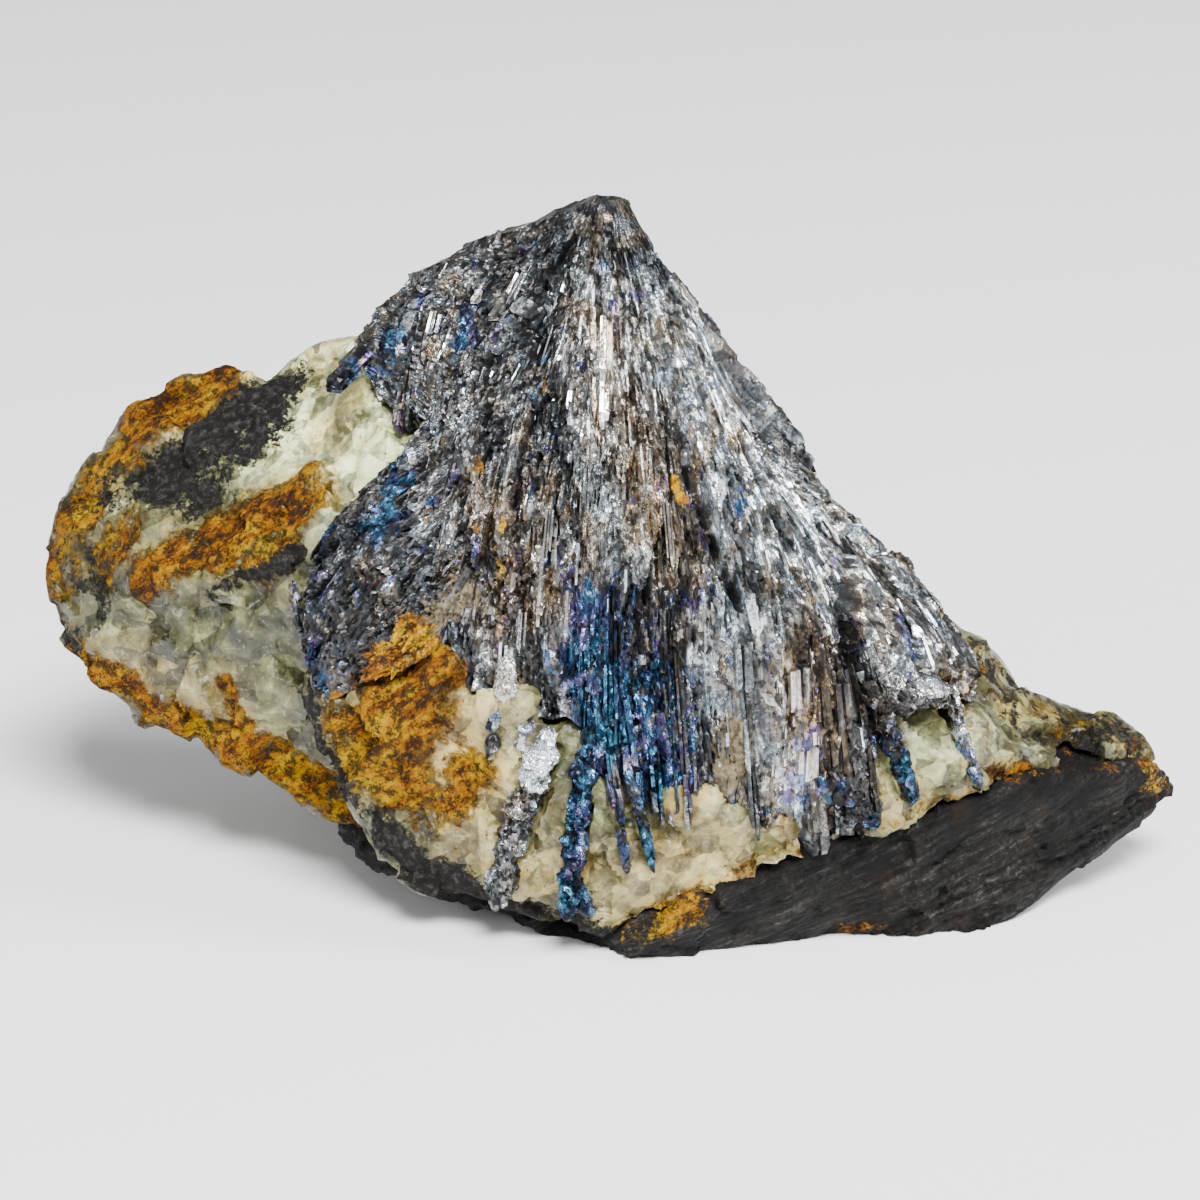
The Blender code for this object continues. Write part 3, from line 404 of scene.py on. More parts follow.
        ((-17.8, -9.8, 7.0), (-10.8, -11.2, 2.6), 1.8, 0.95),
        # painted shade along the edge between the left lobe and the front, widening into slate at the foot
        ((-22.9, -6.4, 21.0), (-22.6, -8.2, 13.0), 0.9, 0.7),
        ((-22.4, -8.2, 13.0), (-17.6, -9.6, 6.4), 1.0, 0.6),
        ((27.5, 0.0, 11.6), (36.5, 0.6, 9.6), 3.4, 0.43),
        ((23.6, 1.0, 17.6), (27.4, 3.6, 13.2), 2.6, 0.42),
        ((-10.8, -11.2, 2.6), (-4.4, -13.4, 1.4), 1.5, 0.9),
        ((-4.4, -13.4, 1.4), (1.0, -14.0, 1.2), 1.2, 0.9),
        ((-43.6, 8.4, 18.0), (-41.0, 5.0, 15.6), 1.8, 0.5),
        ((-4.4, -13.6, 5.0), (-2.6, -13.8, 1.4), 1.6, 0.5),
    ),
    "milky": (  # the palest quartz
        ((-27.0, 7.0, 35.0), (-14.0, 0.0, 34.0), 7.0, 1.0),
        ((-24.0, 1.0, 31.0), (-18.0, -3.0, 30.0), 4.0, 0.8),
        ((-12.5, -10.0, 20.0), (-9.0, -12.0, 8.0), 3.0, 0.5),
        ((18.0, -11.0, 12.0), (26.0, -7.4, 13.0), 2.8, 0.3),
    ),
    "cream": (  # cream quartz
        ((-12.5, -10.4, 19.0), (-9.8, -11.7, 9.0), 3.6, 1.0),
        ((-9.0, -12.0, 7.0), (0.0, -13.9, 4.0), 3.4, 0.8),
        ((1.0, -13.9, 7.0), (10.0, -13.6, 8.8), 3.4, 0.8),
        ((4.0, -13.6, 12.0), (8.0, -13.6, 14.0), 2.4, 0.7),
        ((-37.0, 3.0, 15.4), (-29.4, -0.4, 14.0), 2.4, 0.45),
        ((-34.4, 10.4, 30.0), (-33.0, 10.0, 30.4), 1.8, 0.8),
        ((17.0, -11.0, 11.0), (25.0, -8.0, 11.6), 1.6, 0.35),
    ),
}


def register_number(name, text, value, **more):
    """A number that a user can change."""
    return bpy.props.FloatProperty(name=name, description=text, default=value, **more)


def register_colour(name, text, value):
    """A colour that a user can change."""
    return bpy.props.FloatVectorProperty(
        name=name, description=text, default=value, size=3, min=0.0, max=1.0, subtype="COLOR"
    )


# ---- mathematics of the shapes -------------------------------------------------------------------


def around(values, rib):
    """Catmull-Rom interpolation of one value or point for each rib, closed round the spray."""
    values = np.asarray(values, float)
    index = np.floor(rib).astype(int)
    t = (rib - index).reshape(-1, *[1] * (values.ndim - 1))
    a, b, c, d = (values[(index + k) % len(values)] for k in (-1, 0, 1, 2))
    return b + 0.5 * t * (c - a + t * (2 * a - 5 * b + 4 * c - d + t * (3 * (b - c) + d - a)))


def skin_point(ribs, rib, down):
    """The skin of a fan and its outward direction, at a rib number and a distance down from 0 to 1.

    A point lies on the line from crest to rim, moved outwards by the rib's two swellings
    27/4 v (1 - v)^2 and 27/4 v^2 (1 - v), where v is the distance down, and by the broad forms,
    which are bell-shaped. Its bend moves it sideways by 4 v (1 - v).
    """
    rib = np.atleast_1d(np.asarray(rib, float))
    down = np.atleast_1d(np.asarray(down, float))
    crest, rim, upper, lower, bend = (around([r[k] for r in ribs.values()], rib) for k in range(5))
    inside = np.clip(down, 0, 1)
    reach = 6.75 * inside * (1 - inside) * (upper * (1 - inside) + lower * inside)
    for place, depth, half_ribs, half_down, height in FAN_FORMS.values() if ribs is FAN_RIBS else ():
        reach += height * np.exp(-(((rib - place) / half_ribs) ** 2) - ((down - depth) / half_down) ** 2)
    point = crest + (rim - crest) * down[:, None]
    point[:, 0] += 4 * inside * (1 - inside) * bend
    outward = crest + (rim - crest) * 0.6
    outward[:, :2] -= SPINE
    outward[:, 2] = 0.35 * np.linalg.norm(outward[:, :2], axis=1)
    return point + unit(outward) * reach[:, None], unit(outward)


def unit(vectors):
    """Vectors of length one."""
    return vectors / np.maximum(np.linalg.norm(vectors, axis=-1, keepdims=True), 1e-9)


def pleat_table():
    """Height of every pleat at every row, which keeps its height until it breaks, and where it ends."""
    columns = len(FAN_RIBS) * PLEATS_PER_RIB
    rng = np.random.default_rng(PLEAT_SEED)
    heights = np.empty((PLEAT_ROWS, columns))
    heights[0] = rng.uniform(-0.4, 0.6, columns)
    for row in range(1, PLEAT_ROWS):
        broken = rng.random(columns) < PLEAT_BREAK
        heights[row] = np.where(broken, rng.uniform(-0.6, 1.0, columns), heights[row - 1])
    heights[:, ::2] -= 0.5
    heights[0] *= 0.7
    heights[-1] *= 0.6
    return heights * PLEAT_HEIGHT, 1 + rng.uniform(-0.6, 1.0, columns) * RIM_RAGGED


def between_pleats(table, rib, down=None):
    """A pleat table's value between its columns, and between its rows where it has rows: linear."""
    place = rib * PLEATS_PER_RIB
    left = np.floor(place).astype(int)
    share = place - left
    columns = table.shape[-1]
    if down is None:
        return table[left % columns] * (1 - share) + table[(left + 1) % columns] * share
    row = np.clip(down, 0, 1) * (PLEAT_ROWS - 1)
    above = np.minimum(np.floor(row).astype(int), PLEAT_ROWS - 2)
    fall = row - above
    here, beside = left % columns, (left + 1) % columns
    upper = table[above, here] * (1 - share) + table[above, beside] * share
    below = table[above + 1, here] * (1 - share) + table[above + 1, beside] * share
    return upper * (1 - fall) + below * fall


def chip_cells(points, count, seed, weights=None, lines=None, stretch=1.0):
    """Shares points out among random seeds. Distance along a seed's own line counts 1/stretch.

    Returns the number of each point's seed, its offset from the seed, and the seed's line.
    """
    rng = np.random.default_rng(seed)
    share = None if weights is None else weights / weights.sum()
    chosen = rng.choice(len(points), count, replace=False, p=share)
    seeds = points[chosen].astype(np.float32)
    line = unit(rng.normal(size=(count, 3))) if lines is None else lines[chosen]
    line = line.astype(np.float32)
    shorten = 1 - 1 / stretch**2
    nearest = np.empty(len(points), int)
    for part in np.array_split(np.arange(len(points)), len(points) // 2000 + 1):
        here = points[part].astype(np.float32)
        apart = (here**2).sum(1)[:, None] + (seeds**2).sum(1) - 2 * here @ seeds.T
        along = here @ line.T - (seeds * line).sum(1)
        nearest[part] = np.argmin(apart - shorten * along**2, axis=1)
    return nearest, points - points[chosen][nearest], line[nearest].astype(float)


HASH_PRIMES = (73856093, 19349663, 83492791)
HASH_ROWS = 8192


def jittered_cells(place, seed):
    """Shares points out among seeds, one at a random spot in every unit cube.

    Returns each point's offset from its nearest seed and four random numbers of that seed.
    """
    table = np.random.default_rng(seed).random((HASH_ROWS, 7))
    cube = np.floor(place).astype(np.int64)
    best = np.full(len(place), np.inf)
    offset = np.zeros((len(place), 3))
    numbers = np.zeros((len(place), 4))
    for step in np.ndindex(3, 3, 3):
        near = cube + np.array(step) - 1
        row = table[(near * HASH_PRIMES).sum(1) % HASH_ROWS]
        apart = place - near - row[:, :3]
        distance = (apart**2).sum(1)
        closer = distance < best
        best[closer] = distance[closer]
        offset[closer] = apart[closer]
        numbers[closer] = row[closer, 3:]
    return offset, numbers


def stone_chips(points, size, seed, height, slope):
    """Breaks a stone's skin into chips: each has its own height and leans its own way."""
    offset, numbers = jittered_cells(points / size, seed)
    lean = (numbers[:, 1:] * 2 - 1) * slope
    lift = (numbers[:, 0] * 2 - 1) * height + np.clip((offset * size * lean).sum(1), -height, height)
    return lift, numbers[:, 0]


def soft_noise(points, size, seed, waves=28):
    """Smooth noise of about unit height: a sum of sine waves in random directions."""
    rng = np.random.default_rng(seed)
    pitch = 2 * np.pi / size * rng.uniform(0.6, 1.7, (waves, 1))
    directions = unit(rng.normal(size=(waves, 3))) * pitch
    return np.sin(points @ directions.T + rng.uniform(0, 2 * np.pi, waves)).sum(1) * math.sqrt(2 / waves)


def zone(name, points):
    """How far each point is inside a named zone: the strongest bell round any of its segments."""
    found = np.zeros(len(points))
    for start, end, radius, strength in ZONES[name]:
        start = np.array(start)
        along = np.array(end) - start
        share = np.clip((points - start) @ along / max(along @ along, 1e-9), 0, 1)
        apart = np.linalg.norm(points - start - share[:, None] * along, axis=1)
        found = np.maximum(found, strength * np.exp(-((apart / radius) ** 3)))
    return found


def half_spaces(corners):
    """The planes of a lump's convex hull, each as a normal and its distance from the origin."""
    work = bmesh.new()
    for corner in corners:
        work.verts.new(corner)
    bmesh.ops.convex_hull(work, input=work.verts)
    bmesh.ops.recalc_face_normals(work, faces=work.faces)
    normals = np.array([face.normal for face in work.faces])
    distances = np.array([face.normal.dot(face.verts[0].co) for face in work.faces])
    work.free()
    return normals, distances


def raised_over(points, outward, corners):
    """How far each point moves along its outward line to leave a convex lump, or nought."""
    normals, distances = half_spaces(corners)
    gap = distances - points @ normals.T
    slope = outward @ normals.T
    with np.errstate(divide="ignore", invalid="ignore"):
        crossing = gap / slope
    leaves = np.where(slope > 1e-6, crossing, np.inf).min(axis=1)
    enters = np.where(slope < -1e-6, crossing, -np.inf).max(axis=1)
    return np.where((leaves > enters) & (leaves > 0) & (enters < 1.0), leaves, 0.0)


# ---- meshes --------------------------------------------------------------------------------------


def add_piece(name, mesh, material, values, sharp, rib_map=None):
    """A piece from a mesh: its finish values and map go on as attributes, its edges stay crisp."""
    for value_name, numbers in values.items():
        layer = mesh.attributes.new(value_name, "FLOAT", "POINT")
        layer.data.foreach_set("value", np.asarray(numbers, np.float32))
    if rib_map is not None:
        corners = np.empty(len(mesh.loops), np.int32)
        mesh.loops.foreach_get("vertex_index", corners)
        layer = mesh.uv_layers.new(name="rib_map")
        layer.data.foreach_set("uv", rib_map[corners].astype(np.float32).ravel())
    mesh.shade_smooth()
    mesh.set_sharp_from_angle(angle=math.radians(sharp))
    mesh.materials.append(material)
    piece = bpy.data.objects.new(name, mesh)
    bpy.context.scene.collection.objects.link(piece)
    return piece


def build(name, points, faces, material, values=None, rib_map=None, sharp=40):
    """A piece from points in millimetres and its faces."""
    mesh = bpy.data.meshes.new(name)
    mesh.from_pydata((np.asarray(points) * MM).tolist(), [], faces)
    return add_piece(name, mesh, material, values or {}, sharp, rib_map)


def close_openings(piece):
    """Fills the open loops of a piece with triangles and turns its faces outwards."""
    work = bmesh.new()
    work.from_mesh(piece.data)
    rim = [edge for edge in work.edges if edge.is_boundary]
    bmesh.ops.triangle_fill(work, edges=rim, use_beauty=True)
    bmesh.ops.recalc_face_normals(work, faces=work.faces)
    work.to_mesh(piece.data)
    work.free()


def tube_faces(rows, columns):
    """Four-sided faces between the rows of a grid that is closed round its columns."""
    row, column = np.meshgrid(np.arange(rows - 1), np.arange(columns), indexing="ij")
    after = (column + 1) % columns
    corners = [row * columns + column, (row + 1) * columns + column]
    corners += [(row + 1) * columns + after, row * columns + after]
    return np.stack(corners, axis=-1).reshape(-1, 4).tolist()


def columns_of(ribs, count, front=None, back_density=1.0):
    """Rib numbers of evenly spaced columns, sparser outside the front, and their places across."""
    fine = np.linspace(0, len(ribs), 4001)
    point, _ = skin_point(ribs, fine, np.full(len(fine), 0.7))
    step = np.linalg.norm(np.diff(point, axis=0), axis=1)
    middle = (fine[1:] + fine[:-1]) / 2
    density = np.ones(len(step))
    if front:
        density[(middle < front[0]) | (middle > front[1])] = back_density
    spread = np.concatenate([[0], np.cumsum(step * density)])
    across = np.concatenate([[0], np.cumsum(step)])
    rib = np.interp(np.arange(count) / count * spread[-1], spread, fine)
    return rib, np.interp(rib, fine, across)


def fan_skin(ribs, columns, rows, chips, seed, seat, front=None, back_density=1.0, pleated=False):
    """Points, faces, finish values and map of a fan.

    The skin is the ribs' loft. Each point moves outwards by its pleat and by each layer of chips,
    where a chip has its own height, a slope across its line and a slope along it. The edges of the
    chips wander with a noise. Grooves run down it where another, long noise crosses nought:
    exp(-(noise / 0.12)^2).
    """
    rib, across = columns_of(ribs, columns, front, back_density)
    rib_all = np.tile(rib, rows)
    down = np.repeat(np.linspace(0, 1, rows), columns)
    if pleated:
        heights, ends = pleat_table()
        end = between_pleats(ends, rib_all)
        down = down * (1 + (end - 1) * down**4)
    point, outward = skin_point(ribs, rib_all, down)
    left, _ = skin_point(ribs, rib_all - 0.125, down)
    right, _ = skin_point(ribs, rib_all + 0.125, down)
    line = unit(skin_point(ribs, rib_all, down + 0.01)[0] - skin_point(ribs, rib_all, down - 0.01)[0])
    spacing = np.linalg.norm(right - left, axis=1)
    lift = np.zeros(len(point))
    if pleated:
        narrow = np.clip(spacing / PLEAT_SPACING, 0, 1) ** 1.5
        lift += between_pleats(heights, rib_all, down) * narrow
        lift += raised_over(point + outward * lift[:, None], outward, LEDGE)
        lumps, _ = stone_chips(point, BLOCK_SIZE, seed + 40, 0.75, 0.5)
        lift += lumps * zone("blocky", point)
    grid = point.reshape(rows, columns, 3)
    across_step = np.linalg.norm(np.roll(grid, -1, 1) - grid, axis=2).ravel()
    area = across_step * np.linalg.norm(np.gradient(grid, axis=0), axis=2).ravel()
    base = point + outward * lift[:, None]
    near_crest = np.clip(down / 0.12, 0.25, 1)
    count = int(area.sum() / (chips[0][0] ** 2 * chips[0][1]))
    coarse, apart, chip_line = chip_cells(base, count, seed, area, line, chips[0][1])
    side = unit(np.cross(chip_line, outward))
    rng = np.random.default_rng(seed + 1)
    warp = np.stack([soft_noise(base, size, seed + size) for size in (1, 2)], axis=1) * CHIP_WARP
    warp[:, 1] *= 4
    length = np.linalg.norm(grid[-1] - grid[0], axis=1).mean()
    rib_map = np.stack([np.tile(across, rows), down * length], axis=1)
    unrolled = np.stack([rib_map[:, 0] / GROOVE_WIDTH, rib_map[:, 1] / GROOVE_LENGTH, down * 0], axis=1)
    groove = np.exp(-((soft_noise(unrolled, 1.0, seed + 9) / 0.12) ** 2))
    groove *= np.clip(soft_noise(base, 6.0, seed + 8) + 0.6, 0, 1) * near_crest
    massive = zone("massive", base)
    crevice = zone("crevice", base)
    lift -= groove * GROOVE_DEPTH * (1 - 0.7 * massive) + crevice * CREVICE_DEPTH
    height_of_chips = np.zeros(len(point))
    values = {}
    for layer, (width, stretch, height, tilt, pitch) in enumerate(chips):
        if layer == 0:
            numbers = rng.random((count, 4))[coarse]
            over, down_line = (apart * side).sum(1), (apart * chip_line).sum(1)
        else:
            frame_place = np.stack([(apart * a).sum(1) for a in (side, chip_line, outward)], axis=1)
            frame_place[:, :2] += warp
            frame_place /= (width, width * stretch, width * 3)
            frame_place += rng.uniform(0, 90, (count, 3))[coarse]
            offset, numbers = jittered_cells(frame_place, seed + layer)
            over, down_line = offset[:, 0] * width, offset[:, 1] * width * stretch
        numbers = numbers * 2 - 1
        lift_here = numbers[:, 0] * height + numbers[:, 1] * tilt * over
        lift_here += np.clip(numbers[:, 2] * pitch * down_line, -height, height)
        height_of_chips += lift_here * (1 - CHIPS_LOST[layer] * massive)
        values[f"chip_{layer}"] = numbers[:, 3] / 2 + 0.5
    lift += height_of_chips * near_crest
    if pleated:
        over_ledge = np.clip((rib_all - LEDGE_RIBS[0]) / 0.3, 0, 1)
        over_ledge *= np.clip((LEDGE_RIBS[1] - rib_all) / 0.3, 0, 1)
        lift -= EDGE_PLUNGE * np.clip((down - 0.92) / 0.08, 0, 1) ** 2 * (1 - over_ledge)
    # Painted shade: how low the skin lies in its grooves, crevices and low chips, which darkens the metal's
    # colour
    values["hollow"] = np.clip(groove * (1 - 0.7 * massive) + crevice - height_of_chips * 0.8, -0.6, 1)
    point = point + outward * lift[:, None]
    skirt = point[-columns:]
    inward = unit(np.array(seat) - skirt)
    skirt = skirt + (inward * 0.6 - outward[-columns:] * 0.8) * SKIRT
    points = np.concatenate([point, skirt, np.array(seat)[None]])
    faces = tube_faces(rows + 1, columns)
    last = rows * columns
    faces += [(last + c, len(points) - 1, last + (c + 1) % columns) for c in range(columns)]
    values = {key: np.concatenate([v, v[-columns:], v[-1:]]) for key, v in values.items()}
    rib_map = np.concatenate([rib_map, rib_map[-columns:], rib_map[-1:]])
    skin = {"point": point, "outward": outward, "line": line, "area": area, "rib": rib_all, "down": down}
    return points, faces, values, rib_map, skin


def stibnite_finish(points, chips, seed, hollow=0.0, smooth=0.0):
    """Finish values of the metal: shade and hue differ from chip to chip and with the zones. Shade also
    carries painted light: painted shade in the hollows, and painted highlight and sheen in the glinting
    zones, the glint clusters and the massive metal.
    """
    coarse, medium, fine = chips
    drawn_out = points * (1, 1, 0.45)
    wander = soft_noise(points, 5.0, seed) * 0.25
    patches = soft_noise(drawn_out, 2.4, seed + 1)
    glinting = zone("glinting", points)
    massive = zone("massive", points)
    # Painted glints: small clusters where the metal's colour is made pale, most in the glinting zones and
    # on massive metal
    painted_glints = np.clip(soft_noise(points * (1, 1, 0.7), 1.8, seed + 4) - 1.25, 0, 0.6)
    # Painted shade: the metal is darker where the skin lies low, in grooves, crevices and low chips
    shade = 0.20 + 0.24 * medium**3 + 0.14 * fine**3 + 0.16 * (coarse - 0.5) - 0.26 * hollow
    # Painted highlight and sheen: the glinting zones and the massive metal of the right flank are made
    # paler
    shade += 0.07 * patches + 0.12 * massive + glinting * (0.04 + 0.30 * medium * coarse + 0.16 * fine**2)
    shade += painted_glints * (0.4 + 0.6 * np.maximum(glinting, massive)) - 0.22 * zone("dim", points)
    blue = zone("blue", points)
    speck = (medium * 7.3) % 1.0
    tarnish = blue * 0.95 + wander * 0.4 + (medium - 0.5) * 0.4 + (fine - 0.5) * 0.3
    tarnish += 0.22 * np.maximum(soft_noise(drawn_out, 3.0, seed + 2) - 0.4, 0)
    tarnish = np.where(speck > 0.94, np.maximum(tarnish, 0.50 + 0.3 * fine), tarnish)
    bronze = zone("bronze", points)
    hue = 0.42 + 0.18 * blue + 0.45 * (((fine * 3.7) % 1.0) - 0.5) - 0.4 * bronze + wander * 0.5
    warm = bronze * 0.9 + np.clip(soft_noise(drawn_out, 3.4, seed + 3) * 0.4, 0, 0.55)
    warm += np.clip(soft_noise(points, 1.3, seed + 5) * 0.5 - 0.3, 0, 0.5)
    coated = zone("coated", points) + wander * 0.6 + (fine - 0.5) * 0.4
    finish = {"shade": shade, "tarnish": tarnish, "hue": hue, "warm": warm, "coated": coated}
    finish["rust"] = zone("rust", points)
    finish["smooth"] = np.maximum(massive * 0.65, smooth)
    return {key: np.clip(numbers, 0, 1) for key, numbers in finish.items()}


def laths(start, end, outward, width, thickness, sunk=0.36, seed=0, ragged=0.08):
    """Points and faces of many blades: five-sided laths that narrow to a chisel edge at the tip.

    The line from start to end runs along the middle of the outer face. A profile is carried along it
    at 0 and 0.84 of its length, and the two corners of the tip lie at its end. The upper end is sunk
    by a share of the thickness, and every corner is moved at random by a share of the width.
    """
    along = unit(end - start)
    length = np.linalg.norm(end - start, axis=1)[:, None]
    across = unit(np.cross(along, outward))
    outward = unit(np.cross(across, along))
    half = width[:, None] / 2
    deep = thickness[:, None]
    section = np.array([(1.0, -0.35), (0.62, 0.0), (-0.7, -0.06), (-1.0, -0.5), (0.0, -1.0)])
    rings = []
    for share, size, sink in ((0.0, 0.7, sunk), (0.84, 0.85, 0.0)):
        middle = start + along * length * share - outward * sink * deep
        for a, b in section:
            rings.append(middle + across * a * half * size + outward * b * deep)
    tip = start + along * length - outward * 0.3 * deep
    rings += [tip + across * 0.4 * half, tip - across * 0.4 * half]
    points = np.stack(rings, axis=1)
    jitter = np.random.default_rng(seed).uniform(-1, 1, points.shape)
    points = points + jitter * ragged * width[:, None, None] * (1, 1, 1.5)
    one = [(4, 3, 2), (4, 2, 1), (4, 1, 0), (9, 5, 10), (5, 6, 10), (6, 7, 11), (6, 11, 10)]
    one += [(7, 8, 11), (8, 9, 11), (9, 10, 11)]
    for side in range(5):
        after = (side + 1) % 5
        one += [(side, after, 5 + after), (side, 5 + after, 5 + side)]
    one = np.array(one)
    faces = one[None] + np.arange(len(start))[:, None, None] * points.shape[1]
    across_map = np.array([a for a, b in section] * 2 + [0.4, -0.4]) * half
    down_map = np.array([0.0] * 5 + [0.84] * 5 + [1.0] * 2) * length
    rib_map = np.stack([across_map, down_map], axis=-1)
    return points, faces.reshape(-1, 3).tolist(), rib_map


def crumbly_vein(path, width, thickness, seed):
    """Points, faces, chip numbers and map of a run of small crystals: an oval tube along a path.

    Both half axes fall to nought at the ends of the path, where t is 0 and 1, as
    (1 - |2t - 1|^5)^(1/2). The width wanders with a noise. The skin is broken into chips.
    """
    path = np.array(path)
    reach = np.concatenate([[0], np.cumsum(np.linalg.norm(np.diff(path, axis=0), axis=1))])
    rows, columns = int(reach[-1] / VEIN_STEP), VEIN_COLUMNS
    share = np.repeat(np.linspace(0.003, 0.997, rows), columns)
    turn = np.tile(np.arange(columns) / columns * 2 * np.pi, rows)
    middle = np.stack([np.interp(share * reach[-1], reach, column) for column in path.T], axis=1)
    along = unit(path[-1] - path[0])
    out = away_from_spine(path[0], path[-1])
    across = unit(np.cross(along, out))
    out = unit(np.cross(across, along))
    pinch = np.sqrt(1 - np.abs(2 * share - 1) ** 5)
    side = across * np.cos(turn)[:, None]
    front = out * np.sin(turn)[:, None]
    half = width / 2 * pinch * (1 + 0.16 * soft_noise(middle + side, 2.2, seed))
    deep = thickness / 2 * pinch
    points = middle + side * half[:, None] + front * deep[:, None]
    normals = unit(side * deep[:, None] + front * half[:, None])
    chips = []
    for layer, (size, height, slope) in enumerate(VEIN_CHIPS):
        lift, chip = stone_chips(points, size, seed + layer, height, slope)
        points = points + normals * (lift * pinch * min(width / 1.6, 1))[:, None]
        chips.append(chip)
    rib_map = np.stack([turn * width / 2, share * reach[-1]], axis=1)
    return points, tube_faces(rows, columns), [chips[0], *chips], rib_map


# ---- materials -----------------------------------------------------------------------------------


class Nodes:
    """A material's node tree, with short ways to add and link its nodes."""

    def __init__(self, name):
        self.material = bpy.data.materials.new(name)
        self.material.use_nodes = True
        self.tree = self.material.node_tree
        self.shader = self.tree.nodes["Principled BSDF"]
        coordinates = self.tree.nodes.new("ShaderNodeTexCoord")
        self.place = self.scaled(coordinates.outputs["Object"], (1 / MM,) * 3)

    def scaled(self, vector, scale):
        """A place with each axis multiplied by its own number."""
        node = self.tree.nodes.new("ShaderNodeMapping")
        node.inputs["Scale"].default_value = scale
        self.tree.links.new(vector, node.inputs["Vector"])
        return node.outputs["Vector"]

    def stretched(self, sizes, turn=(0, 0, 0)):
        """The place in a turned frame, where each axis counts in steps of its own size."""
        node = self.tree.nodes.new("ShaderNodeMapping")
        node.vector_type = "TEXTURE"
        node.inputs["Scale"].default_value = sizes
        node.inputs["Rotation"].default_value = turn
        self.tree.links.new(self.place, node.inputs["Vector"])
        return node.outputs["Vector"]

    def value(self, name):
        """One of the piece's finish values."""
        node = self.tree.nodes.new("ShaderNodeAttribute")
        node.attribute_name = name
        return node.outputs["Fac"]

    def rib_map(self, scale):
        """The piece's map across and along its ribs, in millimetres times a scale."""
        node = self.tree.nodes.new("ShaderNodeUVMap")
        node.uv_map = "rib_map"
        return self.scaled(node.outputs["UV"], scale)

    def noise(self, size, detail=3.0, rough=0.55, vector=None, distortion=0.0):
        """Noise whose lumps are about a size in millimetres wide."""
        node = self.tree.nodes.new("ShaderNodeTexNoise")
        node.inputs["Scale"].default_value = 1 / size
        node.inputs["Detail"].default_value = detail
        node.inputs["Roughness"].default_value = rough
        node.inputs["Distortion"].default_value = distortion
        self.tree.links.new(vector or self.place, node.inputs["Vector"])
        return node.outputs["Fac"]

    def cracks(self, size):
        """Distance to the nearest border between cells of a size in millimetres."""
        node = self.tree.nodes.new("ShaderNodeTexVoronoi")
        node.feature = "DISTANCE_TO_EDGE"
        node.inputs["Scale"].default_value = 1 / size
        self.tree.links.new(self.place, node.inputs["Vector"])
        return node.outputs["Distance"]

    def facets(self, vector):
        """Height of small flat faces: each cell slopes its own way, dot(place - seed, colour - 1/2)."""
        node = self.tree.nodes.new("ShaderNodeTexVoronoi")
        node.inputs["Scale"].default_value = 1.0
        self.tree.links.new(vector, node.inputs["Vector"])
        pairs = []
        for first, second in ((vector, node.outputs["Position"]), (node.outputs["Color"], (0.5,) * 3)):
            apart = self.tree.nodes.new("ShaderNodeVectorMath")
            apart.operation = "SUBTRACT"
            self.tree.links.new(first, apart.inputs[0])
            if isinstance(second, tuple):
                apart.inputs[1].default_value = second
            else:
                self.tree.links.new(second, apart.inputs[1])
            pairs.append(apart.outputs["Vector"])
        slope = self.tree.nodes.new("ShaderNodeVectorMath")
        slope.operation = "DOT_PRODUCT"
        self.tree.links.new(pairs[0], slope.inputs[0])
        self.tree.links.new(pairs[1], slope.inputs[1])
        parts = self.tree.nodes.new("ShaderNodeSeparateColor")
        self.tree.links.new(node.outputs["Color"], parts.inputs["Color"])
        return slope.outputs["Value"], parts.outputs["Green"]

    def math(self, operation, first, second=None, clamp=False):
        """One sum with numbers or other nodes' outputs."""
        node = self.tree.nodes.new("ShaderNodeMath")
        node.operation = operation
        node.use_clamp = clamp
        for socket, given in zip(node.inputs, (first, second)):
            if given is None:
                continue
            if isinstance(given, (int, float)):
                socket.default_value = given
            else:
                self.tree.links.new(given, socket)
        return node.outputs[0]

    def varied(self, value, noise, strength):
        """A value moved up and down by a noise round its middle."""
        swing = self.math("MULTIPLY", self.math("SUBTRACT", noise, 0.5), strength)
        return self.math("ADD", value, swing)

    def between(self, value, low, high, to_low=0.0, to_high=1.0):
        """Maps a value from one range to another, smoothly and held at the ends."""
        node = self.tree.nodes.new("ShaderNodeMapRange")
        node.interpolation_type = "SMOOTHSTEP"
        names = ("From Min", "From Max", "To Min", "To Max")
        for name, number in zip(names, (low, high, to_low, to_high)):
            node.inputs[name].default_value = number
        self.tree.links.new(value, node.inputs["Value"])
        return node.outputs["Result"]

    def ramp(self, value, stops):
        """Colours that follow a value from stop to stop."""
        node = self.tree.nodes.new("ShaderNodeValToRGB")
        elements = node.color_ramp.elements
        while len(elements) < len(stops):
            elements.new(0.5)
        for element, (place, colour) in zip(elements, stops):
            element.position = place
            element.color = (*colour, 1)
        self.tree.links.new(value, node.inputs["Fac"])
        return node.outputs["Color"]

    def mix(self, share, first, second, blend="MIX"):
        """Two colours mixed or multiplied by a share."""
        node = self.tree.nodes.new("ShaderNodeMix")
        node.data_type = "RGBA"
        node.blend_type = blend
        sockets = [s for s in node.inputs if s.type == "RGBA"]
        for socket, given in zip((node.inputs["Factor"], *sockets), (share, first, second)):
            if isinstance(given, (int, float)):
                socket.default_value = given
            elif isinstance(given, (tuple, list)) or hasattr(given, "hsv"):
                socket.default_value = (*given, 1)
            else:
                self.tree.links.new(given, socket)
        return [s for s in node.outputs if s.type == "RGBA"][0]

    def relief(self, height, depth, under=None):
        """A bump of a depth in millimetres on top of another."""
        node = self.tree.nodes.new("ShaderNodeBump")
        node.inputs["Distance"].default_value = depth * MM
        self.tree.links.new(height, node.inputs["Height"])
        if under:
            self.tree.links.new(under, node.inputs["Normal"])
        return node.outputs["Normal"]

